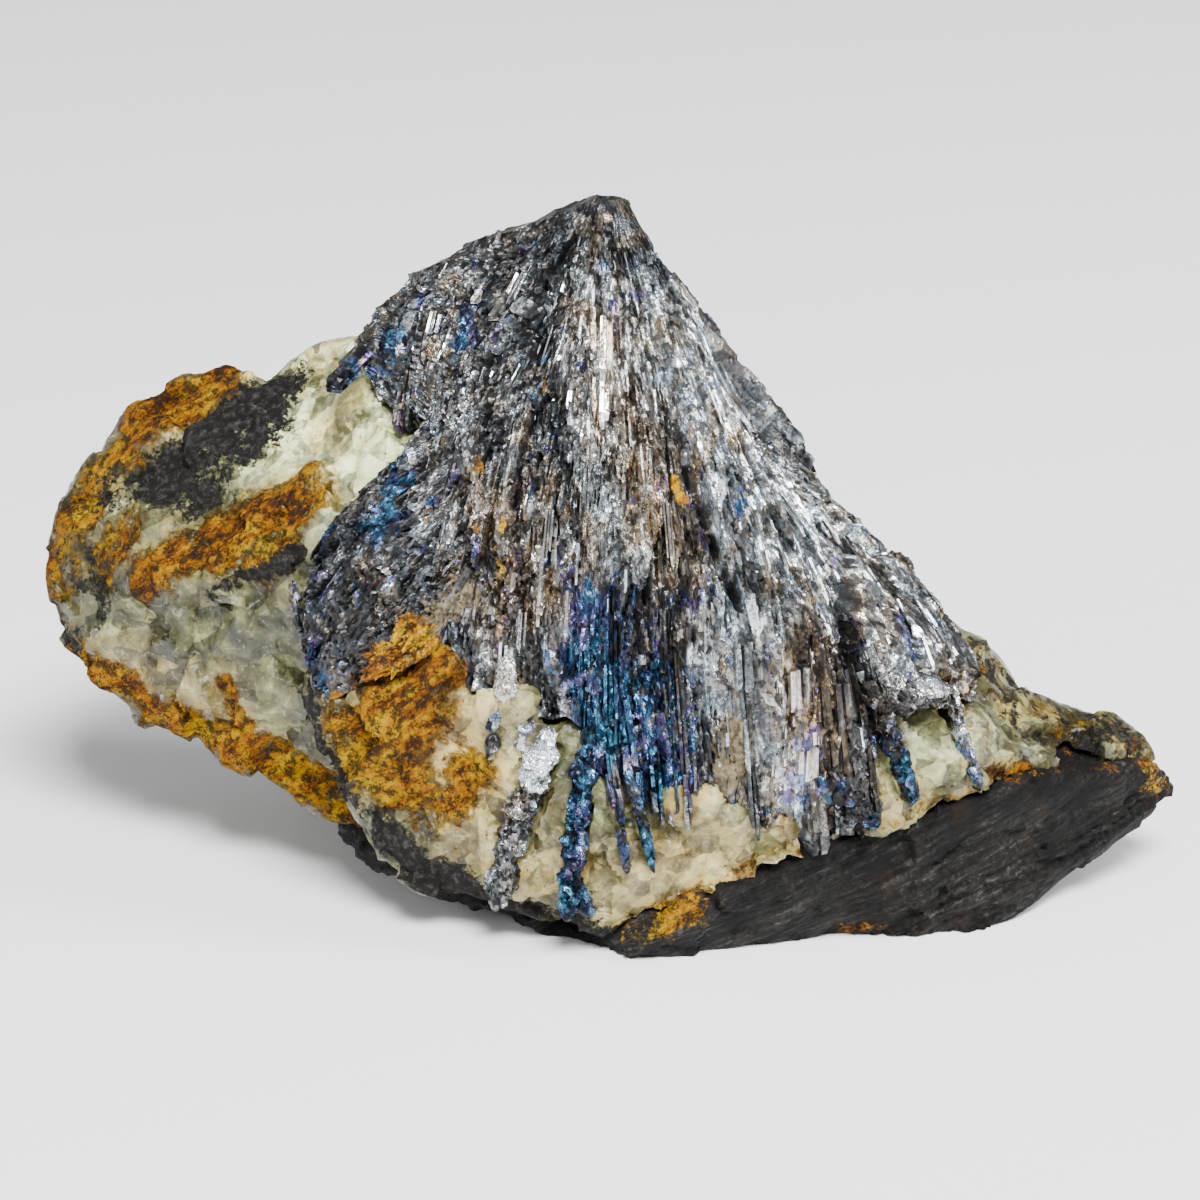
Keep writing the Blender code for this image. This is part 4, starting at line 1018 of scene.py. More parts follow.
    def set(self, **sockets):
        """Sets or links the shader's sockets: base_color for Base Color, and so on."""
        for name, given in sockets.items():
            socket = self.shader.inputs[name.replace("_", " ").title()]
            if isinstance(given, bpy.types.NodeSocket):
                self.tree.links.new(given, socket)
            else:
                socket.default_value = given
        return self.material


def rust_colour(nodes, look):
    """Limonite in slanting streaks: brown, orange, then yellow where it is powdery, and black pits."""
    streaks = nodes.stretched((2.8, 1.2, 0.9), (0.0, math.radians(-35), 0.0))
    mottle = nodes.varied(nodes.noise(1.0, 9.0, 0.85, streaks), nodes.noise(4.5, 3.0, 0.5), 0.35)
    colours = (look.rust_brown, look.rust_orange, look.rust_yellow, look.rust_ochre)
    stops = tuple(zip((0.40, 0.46, 0.53, 0.62), colours))
    pits = nodes.between(nodes.noise(0.8, 8.0, 0.85), 0.525, 0.465)
    return nodes.mix(nodes.math("MULTIPLY", pits, 0.9), nodes.ramp(mottle, stops), look.rust_black)


def stibnite_material(name, look, rust_look):
    """Steel-grey metal: small flat faces and fine lines along its splinters, tarnish, crust, rust."""
    nodes = Nodes(name)
    facet, facet_shade = nodes.facets(nodes.rib_map((1 / 0.32, 1 / 1.2, 1)))
    crumb, crumb_shade = nodes.facets(nodes.scaled(nodes.place, (1 / 0.34,) * 3))
    streak = nodes.noise(1.0, 4.0, 0.6, nodes.rib_map((1 / 0.24, 1 / 2.4, 1)))
    hair = nodes.noise(1.0, 2.0, 0.5, nodes.rib_map((1 / 0.07, 1 / 2.0, 1)))
    grain = nodes.noise(0.35, 4.0, 0.65)
    broken = nodes.between(nodes.noise(2.4, 4.0, 0.6), 0.42, 0.56)
    rough_part = nodes.math("SUBTRACT", 1.0, nodes.value("smooth"), True)
    shade = nodes.varied(nodes.value("shade"), streak, 0.40)
    shade = nodes.varied(shade, facet_shade, 0.18)
    shade = nodes.varied(shade, crumb_shade, 0.22)
    shade = nodes.math("ADD", nodes.varied(shade, grain, 0.32), 0.0, True)
    stops = ((0.0, look.steel_dark), (0.3, look.steel), (0.55, look.steel_pale), (0.85, look.steel_bright))
    steel = nodes.ramp(shade, stops)
    cool = nodes.between(nodes.noise(2.0, 4.0, 0.6, nodes.scaled(nodes.place, (1.0, 1.0, 0.5))), 0.5, 0.7)
    share = nodes.math("MULTIPLY", cool, 0.5)
    steel = nodes.mix(share, steel, nodes.mix(1.0, steel, look.blue_cast, "MULTIPLY"))
    warm = nodes.math("MULTIPLY", nodes.value("warm"), nodes.between(streak, 0.30, 0.55))
    steel = nodes.mix(warm, steel, nodes.ramp(shade, ((0.1, look.bronze_dark), (0.8, look.bronze))))
    hue = nodes.varied(nodes.value("hue"), nodes.noise(0.7, 3.0, 0.6), 0.8)
    stops = ((0.08, look.bronze), (0.22, look.violet), (0.46, look.blue), (0.80, look.teal))
    tarnish = nodes.ramp(hue, stops)
    depth = nodes.ramp(shade, ((0.05, (0.12,) * 3), (0.7, (2.4,) * 3)))
    tarnish = nodes.mix(1.0, tarnish, depth, "MULTIPLY")
    patchy = nodes.varied(nodes.value("tarnish"), nodes.noise(0.9, 5.0, 0.75), 1.9)
    patchy = nodes.math("MULTIPLY", nodes.between(patchy, 0.50, 0.72), 0.76)
    colour = nodes.mix(patchy, steel, tarnish)
    coat = nodes.between(nodes.varied(nodes.value("coated"), grain, 1.6), 0.58, 0.80)
    specks = nodes.between(nodes.noise(0.6, 4.0, 0.75), 0.66, 0.74)
    coat = nodes.math("MAXIMUM", coat, nodes.math("MULTIPLY", specks, 0.6))
    crust = nodes.ramp(nodes.noise(0.6, 3.0, 0.6), ((0.35, look.crust_dark), (0.65, look.crust)))
    colour = nodes.mix(coat, colour, crust)
    stain = nodes.between(nodes.varied(nodes.value("rust"), nodes.noise(1.6, 5.0, 0.7), 1.6), 0.5, 0.7)
    fleck = nodes.noise(0.8, 5.0, 0.8, nodes.scaled(nodes.place, (1.0, 1.0, 0.6)))
    fleck = nodes.between(fleck, 0.67, 0.73)
    stain = nodes.math("MAXIMUM", stain, nodes.math("MULTIPLY", fleck, 0.9))
    colour = nodes.mix(stain, colour, rust_colour(nodes, rust_look))
    dull = nodes.math("MAXIMUM", coat, stain)
    metal = nodes.math("SUBTRACT", 0.86, nodes.math("MULTIPLY", dull, 0.82))
    rough = nodes.between(shade, 0.05, 0.75, look.roughness, look.roughness * 0.4)
    rough = nodes.math("ADD", rough, nodes.math("MULTIPLY", dull, 0.5), True)
    bump = nodes.relief(nodes.math("MULTIPLY", facet, rough_part), 0.24)
    broken = nodes.math("MULTIPLY", broken, rough_part)
    bump = nodes.relief(nodes.math("MULTIPLY", crumb, broken), 0.30, bump)
    bump = nodes.relief(nodes.math("MULTIPLY", streak, rough_part), 0.08, bump)
    bump = nodes.relief(nodes.math("MULTIPLY", hair, rough_part), 0.03, bump)
    bump = nodes.relief(grain, 0.035, bump)
    nodes.shader.inputs["Specular IOR Level"].default_value = 0.25
    return nodes.set(base_color=colour, metallic=metal, roughness=rough, normal=bump)


def stone_stain(nodes, attribute, low, high, size=2.6, strength=2.0, specks=1.4):
    """A stained zone from its smooth attribute: its ragged edge breaks up into specks."""
    share = nodes.varied(nodes.value(attribute), nodes.noise(size, 5.0, 0.65), strength)
    return nodes.between(nodes.varied(share, nodes.noise(0.5, 6.0, 0.8), specks), low, high)


def quartz_material(name, look):
    """Cloudy quartz, green-grey to cream, with white flaws, dirt, limonite, slate left on it and painted
    shade in slate colour.
    """
    nodes = Nodes(name)
    cloud = nodes.noise(3.2, 5.0, 0.6, distortion=0.6)
    fine = nodes.noise(0.55, 5.0, 0.7)
    facet, facet_shade = nodes.facets(nodes.scaled(nodes.place, (1 / 1.3,) * 3))
    crumb, crumb_shade = nodes.facets(nodes.scaled(nodes.place, (1 / 0.5,) * 3))
    green = nodes.ramp(cloud, ((0.34, look.quartz_deep), (0.5, look.quartz), (0.68, look.quartz_pale)))
    milky = nodes.ramp(cloud, ((0.30, look.quartz_pale), (0.5, look.quartz_milky), (0.7, look.quartz_flaw)))
    colour = nodes.mix(nodes.value("milky"), green, milky)
    cream = nodes.ramp(cloud, ((0.34, look.cream_deep), (0.54, look.cream), (0.72, look.quartz_milky)))
    colour = nodes.mix(nodes.math("MULTIPLY", nodes.value("cream"), 0.9), colour, cream)
    chip = nodes.math("MULTIPLY", nodes.value("chip"), 0.35)
    chip = nodes.math("ADD", chip, nodes.math("MULTIPLY", fine, 0.50))
    chip = nodes.math("ADD", chip, nodes.math("MULTIPLY", facet_shade, 0.36))
    chip = nodes.math("ADD", chip, nodes.math("MULTIPLY", crumb_shade, 0.12))
    depths = ((0.42, (0.28, 0.29, 0.20)), (0.62, (1.0, 1.0, 0.90)), (0.82, (2.3, 2.3, 2.1)))
    depth = nodes.ramp(chip, depths)
    colour = nodes.mix(1.0, colour, depth, "MULTIPLY")
    flaw = nodes.between(nodes.cracks(1.6), 0.05, 0.0)
    flaw = nodes.math("MULTIPLY", flaw, nodes.between(fine, 0.5, 0.6))
    colour = nodes.mix(nodes.math("MULTIPLY", flaw, 0.3), colour, look.quartz_flaw)
    specks = nodes.between(nodes.noise(0.8, 5.0, 0.8), 0.59, 0.67)
    colour = nodes.mix(nodes.math("MULTIPLY", specks, 0.75), colour, look.quartz_dirt)
    halo = stone_stain(nodes, "rust", 0.14, 0.50)
    tint = nodes.between(nodes.noise(4.5, 4.0, 0.6), 0.52, 0.64)
    tint = nodes.math("MAXIMUM", nodes.math("MULTIPLY", tint, 0.5), nodes.math("MULTIPLY", halo, 0.9))
    colour = nodes.mix(tint, colour, nodes.mix(1.0, colour, look.quartz_stained, "MULTIPLY"))
    rust = stone_stain(nodes, "rust", 0.48, 0.76)
    colour = nodes.mix(rust, colour, rust_colour(nodes, look))
    # Slate colour where the dark zone lies: slate left on the quartz, and painted shade on the left lobe's
    # top and front edge
    dark = stone_stain(nodes, "dark", 0.40, 0.62, 2.0, 1.8, 1.2)
    slate = nodes.ramp(fine, ((0.3, look.slate), (0.5, look.slate_mid), (0.7, look.slate_pale)))
    colour = nodes.mix(dark, colour, slate)
    dull = nodes.math("MAXIMUM", rust, dark)
    clean = nodes.math("SUBTRACT", 1.0, dull, True)
    rough = nodes.between(fine, 0.3, 0.7, look.quartz_gloss + 0.1, look.quartz_gloss + 0.35)
    rough = nodes.math("ADD", rough, nodes.math("MULTIPLY", dull, 0.5), True)
    bump = nodes.relief(facet, 0.46)
    bump = nodes.relief(crumb, 0.12, bump)
    bump = nodes.relief(fine, 0.08, bump)
    bump = nodes.relief(nodes.math("MULTIPLY", nodes.noise(0.6, 6.0, 0.8), dull), 0.5, bump)
    glow = nodes.math("MULTIPLY", clean, look.quartz_depth)
    shine = nodes.math("MULTIPLY", clean, nodes.between(nodes.noise(1.8, 4.0, 0.6), 0.35, 0.6, 0.2, 1.0))
    nodes.shader.inputs["Subsurface Radius"].default_value = (1.0, 1.0, 0.85)
    nodes.shader.inputs["Subsurface Scale"].default_value = 1.2 * MM
    nodes.shader.inputs["Specular IOR Level"].default_value = 0.15
    nodes.shader.inputs["Coat Roughness"].default_value = look.quartz_gloss
    return nodes.set(
        base_color=colour, roughness=rough, normal=bump, coat_normal=bump, coat_weight=shine,
        subsurface_weight=glow,
    )


def slate_material(name, look):
    """Black slate: fine pale lines where its layers break, thin brown films and rust."""
    nodes = Nodes(name)
    streak = nodes.noise(1.0, 6.0, 0.7, nodes.stretched((5.0, 2.0, 0.34), (0.0, math.radians(-22), 0.0)))
    fine = nodes.noise(0.35, 6.0, 0.8)
    broad = nodes.noise(4.0, 4.0, 0.6)
    both = nodes.math("ADD", nodes.math("MULTIPLY", streak, 0.42), nodes.math("MULTIPLY", fine, 0.42))
    both = nodes.math("ADD", both, nodes.math("MULTIPLY", broad, 0.30))
    colour = nodes.ramp(both, ((0.53, look.slate), (0.62, look.slate_mid), (0.70, look.slate_pale)))
    film = nodes.between(nodes.noise(6.0, 5.0, 0.6), 0.54, 0.70)
    colour = nodes.mix(nodes.math("MULTIPLY", film, 0.25), colour, look.rust_brown)
    rust = stone_stain(nodes, "rust", 0.50, 0.74)
    colour = nodes.mix(rust, colour, rust_colour(nodes, look))
    dust = nodes.between(nodes.noise(1.4, 8.0, 0.85), 0.60, 0.68)
    colour = nodes.mix(nodes.math("MULTIPLY", dust, 0.4), colour, look.quartz_dirt)
    rough = nodes.between(streak, 0.3, 0.7, 0.75, 0.55)
    bump = nodes.relief(streak, 0.30)
    bump = nodes.relief(broad, 0.8, bump)
    bump = nodes.relief(fine, 0.24, bump)
    nodes.shader.inputs["Specular IOR Level"].default_value = 0.14
    return nodes.set(base_color=colour, roughness=rough, normal=bump)


# ---- settings ------------------------------------------------------------------------------------


class SPECIMEN_PG_spray(bpy.types.PropertyGroup):
    """How the spray is broken up and coloured"""

    splinters: bpy.props.IntProperty(
        name="Splinters", description="Small laths scattered over the fan", default=1700, min=0
    )
    glints: bpy.props.IntProperty(
        name="Glints", description="Small clean faces scattered over the front", default=420, min=0
    )
    splinter_width: register_number(
        "Splinter width", "Width of a middling splinter", 0.22 * MM, unit="LENGTH", subtype="DISTANCE"
    )
    splinter_length: register_number(
        "Splinter length", "Length of a middling splinter", 2.2 * MM, unit="LENGTH", subtype="DISTANCE"
    )
    roughness: register_number("Roughness", "Roughness of the dark metal", 0.36, min=0.0, max=1.0)
    steel_dark: register_colour("Dark steel", "Metal in the shade of the splinters", (0.024, 0.0245, 0.026))
    steel: register_colour("Steel", "Metal of most splinters", (0.072, 0.078, 0.084))
    steel_pale: register_colour("Pale steel", "Metal of the lighter splinters", (0.25, 0.275, 0.295))
    # Bright steel is paler than the metal itself: at the top of the shade ramp it is mostly a painted
    # highlight on the cleavage faces, glints and glint clusters
    steel_bright: register_colour("Bright steel", "Metal of a clean cleavage face", (0.80, 0.86, 0.90))
    bronze_dark: register_colour("Dark bronze", "Brown tarnish in the shade", (0.020, 0.014, 0.009))
    bronze: register_colour("Bronze", "Brown and gold tarnish", (0.40, 0.29, 0.16))
    violet: register_colour("Violet", "Violet tarnish", (0.075, 0.035, 0.115))
    blue: register_colour("Blue", "Deep blue tarnish", (0.012, 0.030, 0.120))
    teal: register_colour("Teal", "Greenish blue tarnish", (0.008, 0.110, 0.190))
    blue_cast: register_colour("Blue cast", "Tint of the cooler steel", (0.62, 0.84, 1.0))
    crust: register_colour("Crust", "Quartz crust on the blades", (0.26, 0.21, 0.12))
    crust_dark: register_colour("Dark crust", "Dirty crust on the blades", (0.05, 0.04, 0.026))


class SPECIMEN_PG_stone(bpy.types.PropertyGroup):
    """The colours of quartz, slate and limonite"""

    chip_size: register_number(
        "Chip size", "Width of the larger chips of the quartz", 4.2 * MM, unit="LENGTH", subtype="DISTANCE"
    )
    fineness: register_number(
        "Fineness", "Edge length of the stone's mesh", 0.34 * MM, unit="LENGTH", subtype="DISTANCE"
    )
    quartz_gloss: register_number("Gloss", "Roughness of the clean quartz", 0.16, min=0.0, max=1.0)
    quartz_depth: register_number("Depth", "How much light the quartz lets in", 0.35, min=0.0, max=1.0)
    quartz: register_colour("Quartz", "Cloudy green-grey quartz", (0.056, 0.056, 0.025))
    quartz_deep: register_colour("Deep quartz", "Clearer, darker quartz", (0.025, 0.026, 0.0105))
    quartz_pale: register_colour("Pale quartz", "Milky quartz", (0.15, 0.155, 0.076))
    quartz_milky: register_colour("Milky quartz", "The palest quartz", (0.35, 0.36, 0.195))
    quartz_flaw: register_colour("Flaws", "White cracks in the quartz", (0.55, 0.58, 0.40))
    quartz_dirt: register_colour("Dirt", "Grey-brown specks on the quartz", (0.035, 0.026, 0.014))
    quartz_stained: register_colour("Stained quartz", "Tint near the limonite", (1.0, 0.70, 0.30))
    cream: register_colour("Cream", "Cream quartz below the spray", (0.25, 0.20, 0.085))
    cream_deep: register_colour("Deep cream", "Darker cream quartz", (0.11, 0.085, 0.030))
    rust_brown: register_colour("Brown stain", "Thin limonite", (0.052, 0.023, 0.005))
    rust_orange: register_colour("Orange stain", "Limonite", (0.30, 0.088, 0.0))
    rust_yellow: register_colour("Yellow stain", "Powdery limonite", (0.42, 0.205, 0.0))
    rust_ochre: register_colour("Ochre stain", "The palest limonite", (0.56, 0.36, 0.0))
    rust_black: register_colour("Black pits", "Dark pits in the stain", (0.014, 0.010, 0.006))
    slate: register_colour("Slate", "Black slate", (0.0045, 0.0042, 0.0040))
    slate_mid: register_colour("Grey slate", "Slate along its layers", (0.016, 0.015, 0.0138))
    slate_pale: register_colour("Pale slate", "Broken edges of the layers", (0.080, 0.076, 0.070))


class SPECIMEN_PG_stage(bpy.types.PropertyGroup):
    """The lights and the floor"""

    floor: register_colour("Floor", "Pale floor", (0.97, 0.97, 0.97))
    key_power: register_number("Key light", "Power of the softbox above the front", 14.5, unit="POWER")
    side_power: register_number("Side light", "Power of the strip on the right", 4.0, unit="POWER")
    fill_power: register_number("Fill light", "Power of the light on the left", 1.6, unit="POWER")
    surround: register_number("Surround", "Brightness of the room", 0.35, min=0.0)


# ---- the spray -----------------------------------------------------------------------------------


def dress(piece, slot, *nodes):
    """The piece rides on the specimen and stands for CAD nodes, which it hides; the slot is not used."""
    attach(piece, "root")
    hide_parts(*nodes)


def closed_metal(name, points, faces, metal, finish, rib_map, node="stibnite_spray", sharp=30):
    """A closed piece of metal that stands for a node."""
    piece = build(name, points, faces, metal, finish, rib_map, sharp)
    close_openings(piece)
    dress(piece, "stibnite", node)


class SPECIMEN_OT_grow_fans(bpy.types.Operator):
    """Grow the main fan and its wing, each a closed skin of chipped splinters"""

    bl_idname = "specimen.grow_fans"
    bl_label = "Grow the fans"

    def execute(self, context):
        metal = stibnite_material(METAL, context.scene.specimen_spray, context.scene.specimen_stone)
        for name, skin in fans().items():
            points, faces, chips, rib_map, _ = skin
            *layers, hollow = chips.values()
            finish = stibnite_finish(points, layers, 3, hollow)
            closed_metal(name, points, faces, metal, finish, rib_map, sharp=40)
        return {"FINISHED"}


SKINS = {}


def fans():
    """The skins of both fans, worked out once."""
    if not SKINS:
        SKINS["stibnite_fan"] = fan_skin(
            FAN_RIBS, FAN_COLUMNS, FAN_ROWS, FAN_CHIPS, 100, FAN_SEAT, FRONT_RIBS, BACK_DENSITY, True
        )
        SKINS["stibnite_wing"] = fan_skin(WING_RIBS, WING_COLUMNS, WING_ROWS, WING_CHIPS, 200, WING_SEAT)
    return SKINS


def large_blades():
    """Start, end, outward direction, width and thickness of the blades that the solid also has."""
    rng = np.random.default_rng(BLADE_SEED)
    rows = []
    for number in range(BLADES):
        ribs, first, last = FAN_RIBS, *(BACK_BLADES if number % 6 == 4 else FRONT_BLADES)
        if number % 4 == 1:
            ribs, first, last = WING_RIBS, *WING_BLADES
        rib = rng.uniform(first, last)
        length = rng.uniform(*BLADE_LENGTH)
        top = rng.uniform(0.03, 1.03 - length)
        width = rng.uniform(*BLADE_WIDTH) * (0.55 + 0.45 * (top + length))
        proud = rng.uniform(*BLADE_PROUD)
        tilt = rng.uniform(-0.35, 0.35)
        slant = rng.uniform(-0.1, 0.1)
        ends, outward = skin_point(ribs, [rib, rib + slant], [top, top + length])
        if zone("massive", ends).max() > 0.3 or rib > BLADES_END or top < 0.07:
            continue
        out = outward[0]
        face = out + np.cross(out, unit(ends[1] - ends[0])) * tilt
        proud -= BLADE_SUNK
        rows.append((ends[0] + out * proud, ends[1] + out * proud, face, width, BLADE_THICKNESS))
    for rib, share, end, width, thickness in RIM_BLADES.values():
        leaves, outward = skin_point(FAN_RIBS, rib, share)
        start = leaves[0] + outward[0] * RIM_BLADE_PROUD
        rows.append((start, np.array(end), away_from_spine(start, np.array(end)), width, thickness))
    return [np.array(column) for column in zip(*rows)]


def away_from_spine(start, end):
    """The direction that the outer face of a blade looks in, away from the spray's upright spine."""
    middle = (start + end) / 2
    return unit(np.array((middle[0] * 0.25, middle[1] - SPINE[1], 2.5)))


def split_lengthwise(start, end, outward, width, thickness, seed, parts=4):
    """Splits each blade into strips side by side that differ in height, ends and tilt."""
    rng = np.random.default_rng(seed)
    count = len(start)
    along = unit(end - start)
    length = np.linalg.norm(end - start, axis=1)[:, None]
    across = unit(np.cross(along, outward))
    made = []
    for part in range(parts):
        shift = (part + 0.5) / parts - 0.5 + rng.uniform(-0.06, 0.06, (count, 1))
        head = rng.uniform(0.0, 0.18, (count, 1)) * length
        tail = rng.uniform(0.0, 0.22, (count, 1)) * length * (part != parts // 2)
        proud = rng.uniform(-0.12, 0.14, (count, 1))
        face = outward + across * rng.uniform(-0.35, 0.35, (count, 1))
        shifted = across * shift * width[:, None] + outward * proud
        strip = width * rng.uniform(0.9, 1.5, count) / parts
        first, last = start + along * head + shifted, end - along * tail + shifted
        made.append((first, last, face, strip, thickness * 0.8))
    return [np.concatenate(column) for column in zip(*made)]


def broken_across(start, end, outward, width, thickness, seed, parts):
    """Breaks each blade across into short lengths that lie a little higher or lower."""
    rng = np.random.default_rng(seed)
    made = []
    for part in range(parts):
        first = part / parts + rng.uniform(-0.08, 0.04, (len(start), 1))
        last = (part + 1) / parts + rng.uniform(0.0, 0.10, (len(start), 1))
        rise = outward * rng.uniform(-0.10, 0.12, (len(start), 1))
        run = end - start
        head, tail = start + run * np.clip(first, 0, 1), start + run * np.clip(last, 0, 1)
        face = outward + rng.normal(0, 0.12, outward.shape)
        made.append((head + rise, tail + rise, face, width * rng.uniform(0.8, 1.2, len(start)), thickness))
    return [np.concatenate(column) for column in zip(*made)]


def scattered_splinters(skin, count, width, length, seed):
    """Small laths along the ribs of a skin: more of them stand up where the skin is steep or low."""
    rng = np.random.default_rng(seed)
    weight = skin["area"] * np.clip((skin["down"] - 0.08) * 8, 0, 1)
    weight *= np.where(skin["outward"][:, 1] < 0.2, 1.0, 0.35)
    weight *= (skin["down"] < 0.94) * (1 - 0.75 * zone("massive", skin["point"]))
    chosen = rng.choice(len(weight), count, replace=False, p=weight / weight.sum())
    outward = skin["outward"][chosen]
    line = skin["line"][chosen]
    side = np.cross(line, outward)
    astray = side * rng.normal(0, 0.07, (count, 1))
    line = unit(line + astray + outward * rng.uniform(-0.03, 0.03, (count, 1)))
    widths = width * np.exp(rng.normal(0, 0.45, count))
    lengths = length * np.minimum(np.exp(rng.normal(0, 0.5, count)), 2.0)
    proud = rng.uniform(-0.12, 0.16, count)
    middle = skin["point"][chosen] + outward * proud[:, None]
    half = line * lengths[:, None] / 2
    face = outward + side * rng.normal(0, 0.42, (count, 1))
    return [middle - half, middle + half, face, widths, widths * 1.4 + 0.5]


def glints(skin, count, seed):
    """Small clean faces that lie the same way as the large ones, most of them where it is bright."""
    rng = np.random.default_rng(seed)
    glinting, massive = zone("glinting", skin["point"]), zone("massive", skin["point"])
    weight = skin["area"] * (0.25 + 1.5 * glinting + 0.6 * massive)
    weight *= (skin["down"] > 0.05) * (skin["down"] < 0.95) * (skin["outward"][:, 1] < 0.1)
    chosen = rng.choice(len(weight), count, replace=False, p=weight / weight.sum())
    outward, line = skin["outward"][chosen], skin["line"][chosen]
    widths = 0.30 * np.exp(rng.normal(0, 0.5, count))
    half = line * (0.45 * np.exp(rng.normal(0, 0.6, count)))[:, None]
    middle = skin["point"][chosen] + outward * rng.uniform(0.0, 0.14, (count, 1))
    face = unit(0.35 * outward + np.array(GLINT_NORMAL) + rng.normal(0, 0.05, (count, 3)))
    return [middle - half, middle + half, face, widths, widths * 0 + 0.8]


def bright_faces():
    """The named cleavage faces: wide flat laths that lie the same way."""
    rows = []
    for rib, down, length, width, _ in BRIGHT_FACES.values():
        middle, outward = skin_point(FAN_RIBS, rib, down)
        below, _ = skin_point(FAN_RIBS, rib, down + 0.02)
        line = unit(below - middle)[0]
        middle = middle[0] + outward[0] * BRIGHT_PROUD
        face = unit(0.45 * outward[0] + np.array(GLINT_NORMAL))
        half = line * length / 2
        rows.append((middle - half, middle + half, face, width, 1.6))
    return [np.array(column) for column in zip(*rows)]


class SPECIMEN_OT_set_blades(bpy.types.Operator):
    """Set the large blades, the bright cleavage faces and the small splinters on the fans"""

    bl_idname = "specimen.set_blades"
    bl_label = "Set the blades"

    def execute(self, context):
        spray = context.scene.specimen_spray
        metal = bpy.data.materials[METAL]
        width = spray.splinter_width / MM
        length = spray.splinter_length / MM
        skins = [skin[-1] for skin in fans().values()]
        shares = np.array([skin["area"].sum() for skin in skins])
        counts = (spray.splinters * shares / shares.sum()).astype(int)
        splinters = [
            scattered_splinters(skin, int(count), width, length, 40 + number)
            for number, (skin, count) in enumerate(zip(skins, counts))
        ]
        large = broken_across(*split_lengthwise(*large_blades(), 21), 22, 3)
        clean = [split_lengthwise(*bright_faces(), 23, 3), glints(skins[0], spray.glints, 24)]
        groups = {
            "stibnite_blades": (large, 0.25, False),
            "stibnite_cleavage_faces": ([np.concatenate(pair) for pair in zip(*clean)], 0.05, True),
            "stibnite_splinters": ([np.concatenate(pair) for pair in zip(*splinters)], 0.36, False),
        }
        for number, (name, (sizes, sunk, named)) in enumerate(groups.items()):
            points, faces, rib_map = laths(*sizes, sunk, ragged=0.02 if named else 0.08)
            flat = points.reshape(-1, 3)
            per_blade = points.shape[1]
            rng = np.random.default_rng(60 + number)
            chips = [np.repeat(rng.random(len(points)), per_blade) for _ in range(3)]
            finish = stibnite_finish(flat, chips, 7, smooth=0.8 * named)
            if named:
                # Painted highlight: the cleavage faces and glints take a high shade, paler than the metal
                # itself, so that they read white
                named_shade = np.tile([face[4] for face in BRIGHT_FACES.values()], 3)
                shade = np.concatenate([named_shade, np.ones(spray.glints)])
                finish["shade"] = np.repeat(shade * rng.uniform(0.7, 1.05, len(shade)), per_blade)
                finish["tarnish"] = finish["tarnish"] * 0.4
                finish["coated"] = finish["coated"] * 0.3
            shift = rng.uniform(0, 50, (len(points), 1, 2))
            rib_map = (rib_map + shift).reshape(-1, 2)
            piece = build(name, flat, faces, metal, finish, rib_map, sharp=20)
            dress(piece, "stibnite", "stibnite_spray")
        return {"FINISHED"}


class SPECIMEN_OT_lay_runs(bpy.types.Operator):
    """Lay the runs of small crystals over the stone and along the ledge"""

    bl_idname = "specimen.lay_runs"
    bl_label = "Lay the runs of small crystals"

    def execute(self, context):
        metal = bpy.data.materials[METAL]
        for number, (name, (path, width, thickness, added)) in enumerate(VEINS.items()):
            points, faces, chips, rib_map = crumbly_vein(path, width, thickness, RUN_SEED + 10 * number)
            finish = stibnite_finish(points, chips, 3)
            shade = finish["shade"] + added + 0.35 * (chips[2] - 0.5) + 0.2 * (chips[1] > 0.8)
            finish["shade"] = np.clip(shade, 0, 1)
            if added > 0.5:
                finish["tarnish"] = finish["tarnish"] * 0.3
            closed_metal(name, points, faces, metal, finish, rib_map)
        return {"FINISHED"}


class SPECIMEN_OT_set_crystals(bpy.types.Operator):
    """Set the crystals that lie in the quartz on their own"""

    bl_idname = "specimen.set_crystals"
    bl_label = "Set the loose crystals"

    def execute(self, context):
        metal = bpy.data.materials[METAL]
        for number, (name, (node, path, width, thickness)) in enumerate(LOOSE_CRYSTALS.items()):
            points, faces, chips, rib_map = crumbly_vein(path, width, thickness, CRYSTAL_SEED + 10 * number)
            finish = stibnite_finish(points, chips, 9)
            if name == "silver_crystal":
                upper = np.clip((points[:, 2] - SILVER_FOOT) / 1.4 + 0.4 * soft_noise(points, 1.8, 9), 0, 1)
                shade = 0.24 + 0.55 * upper + 0.5 * (chips[2] - 0.5) + 0.3 * (chips[1] > 0.7)
                finish["shade"] = np.clip(shade, 0, 1)
                finish["tarnish"] = finish["tarnish"] * (1 - upper) * 0.8
                finish["warm"] = finish["warm"] * (1 - upper)
                finish["coated"] = finish["coated"] * 0
                finish["rust"] = finish["rust"] * 0
            closed_metal(name, points, faces, metal, finish, rib_map, node)
        return {"FINISHED"}


# ---- the stone -----------------------------------------------------------------------------------

ACROSS_LAYERS = (-0.38, 0.25, 0.9)  # the slate splits at right angles to this
SLATE_LAYER = 0.55
SLATE_LEAF = 0.19
LAYER_NUMBERS = 4001


def fine_copy(node, name, fineness):
    """A copy of a CAD node with its corners merged and its surface cut into small even faces."""
    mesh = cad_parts[node].data.copy()
    work = bmesh.new()
    work.from_mesh(mesh)
    bmesh.ops.remove_doubles(work, verts=work.verts, dist=1e-6)
    work.to_mesh(mesh)
    work.free()
    mesh.materials.clear()
    rough = bpy.data.objects.new(name, mesh)
    bpy.context.scene.collection.objects.link(rough)
    cut = rough.modifiers.new("cut", "REMESH")
    cut.mode = "VOXEL"
    cut.voxel_size = fineness
    graph = bpy.context.evaluated_depsgraph_get()
    fine = bpy.data.meshes.new_from_object(rough.evaluated_get(graph))
    bpy.data.objects.remove(rough)
    return fine


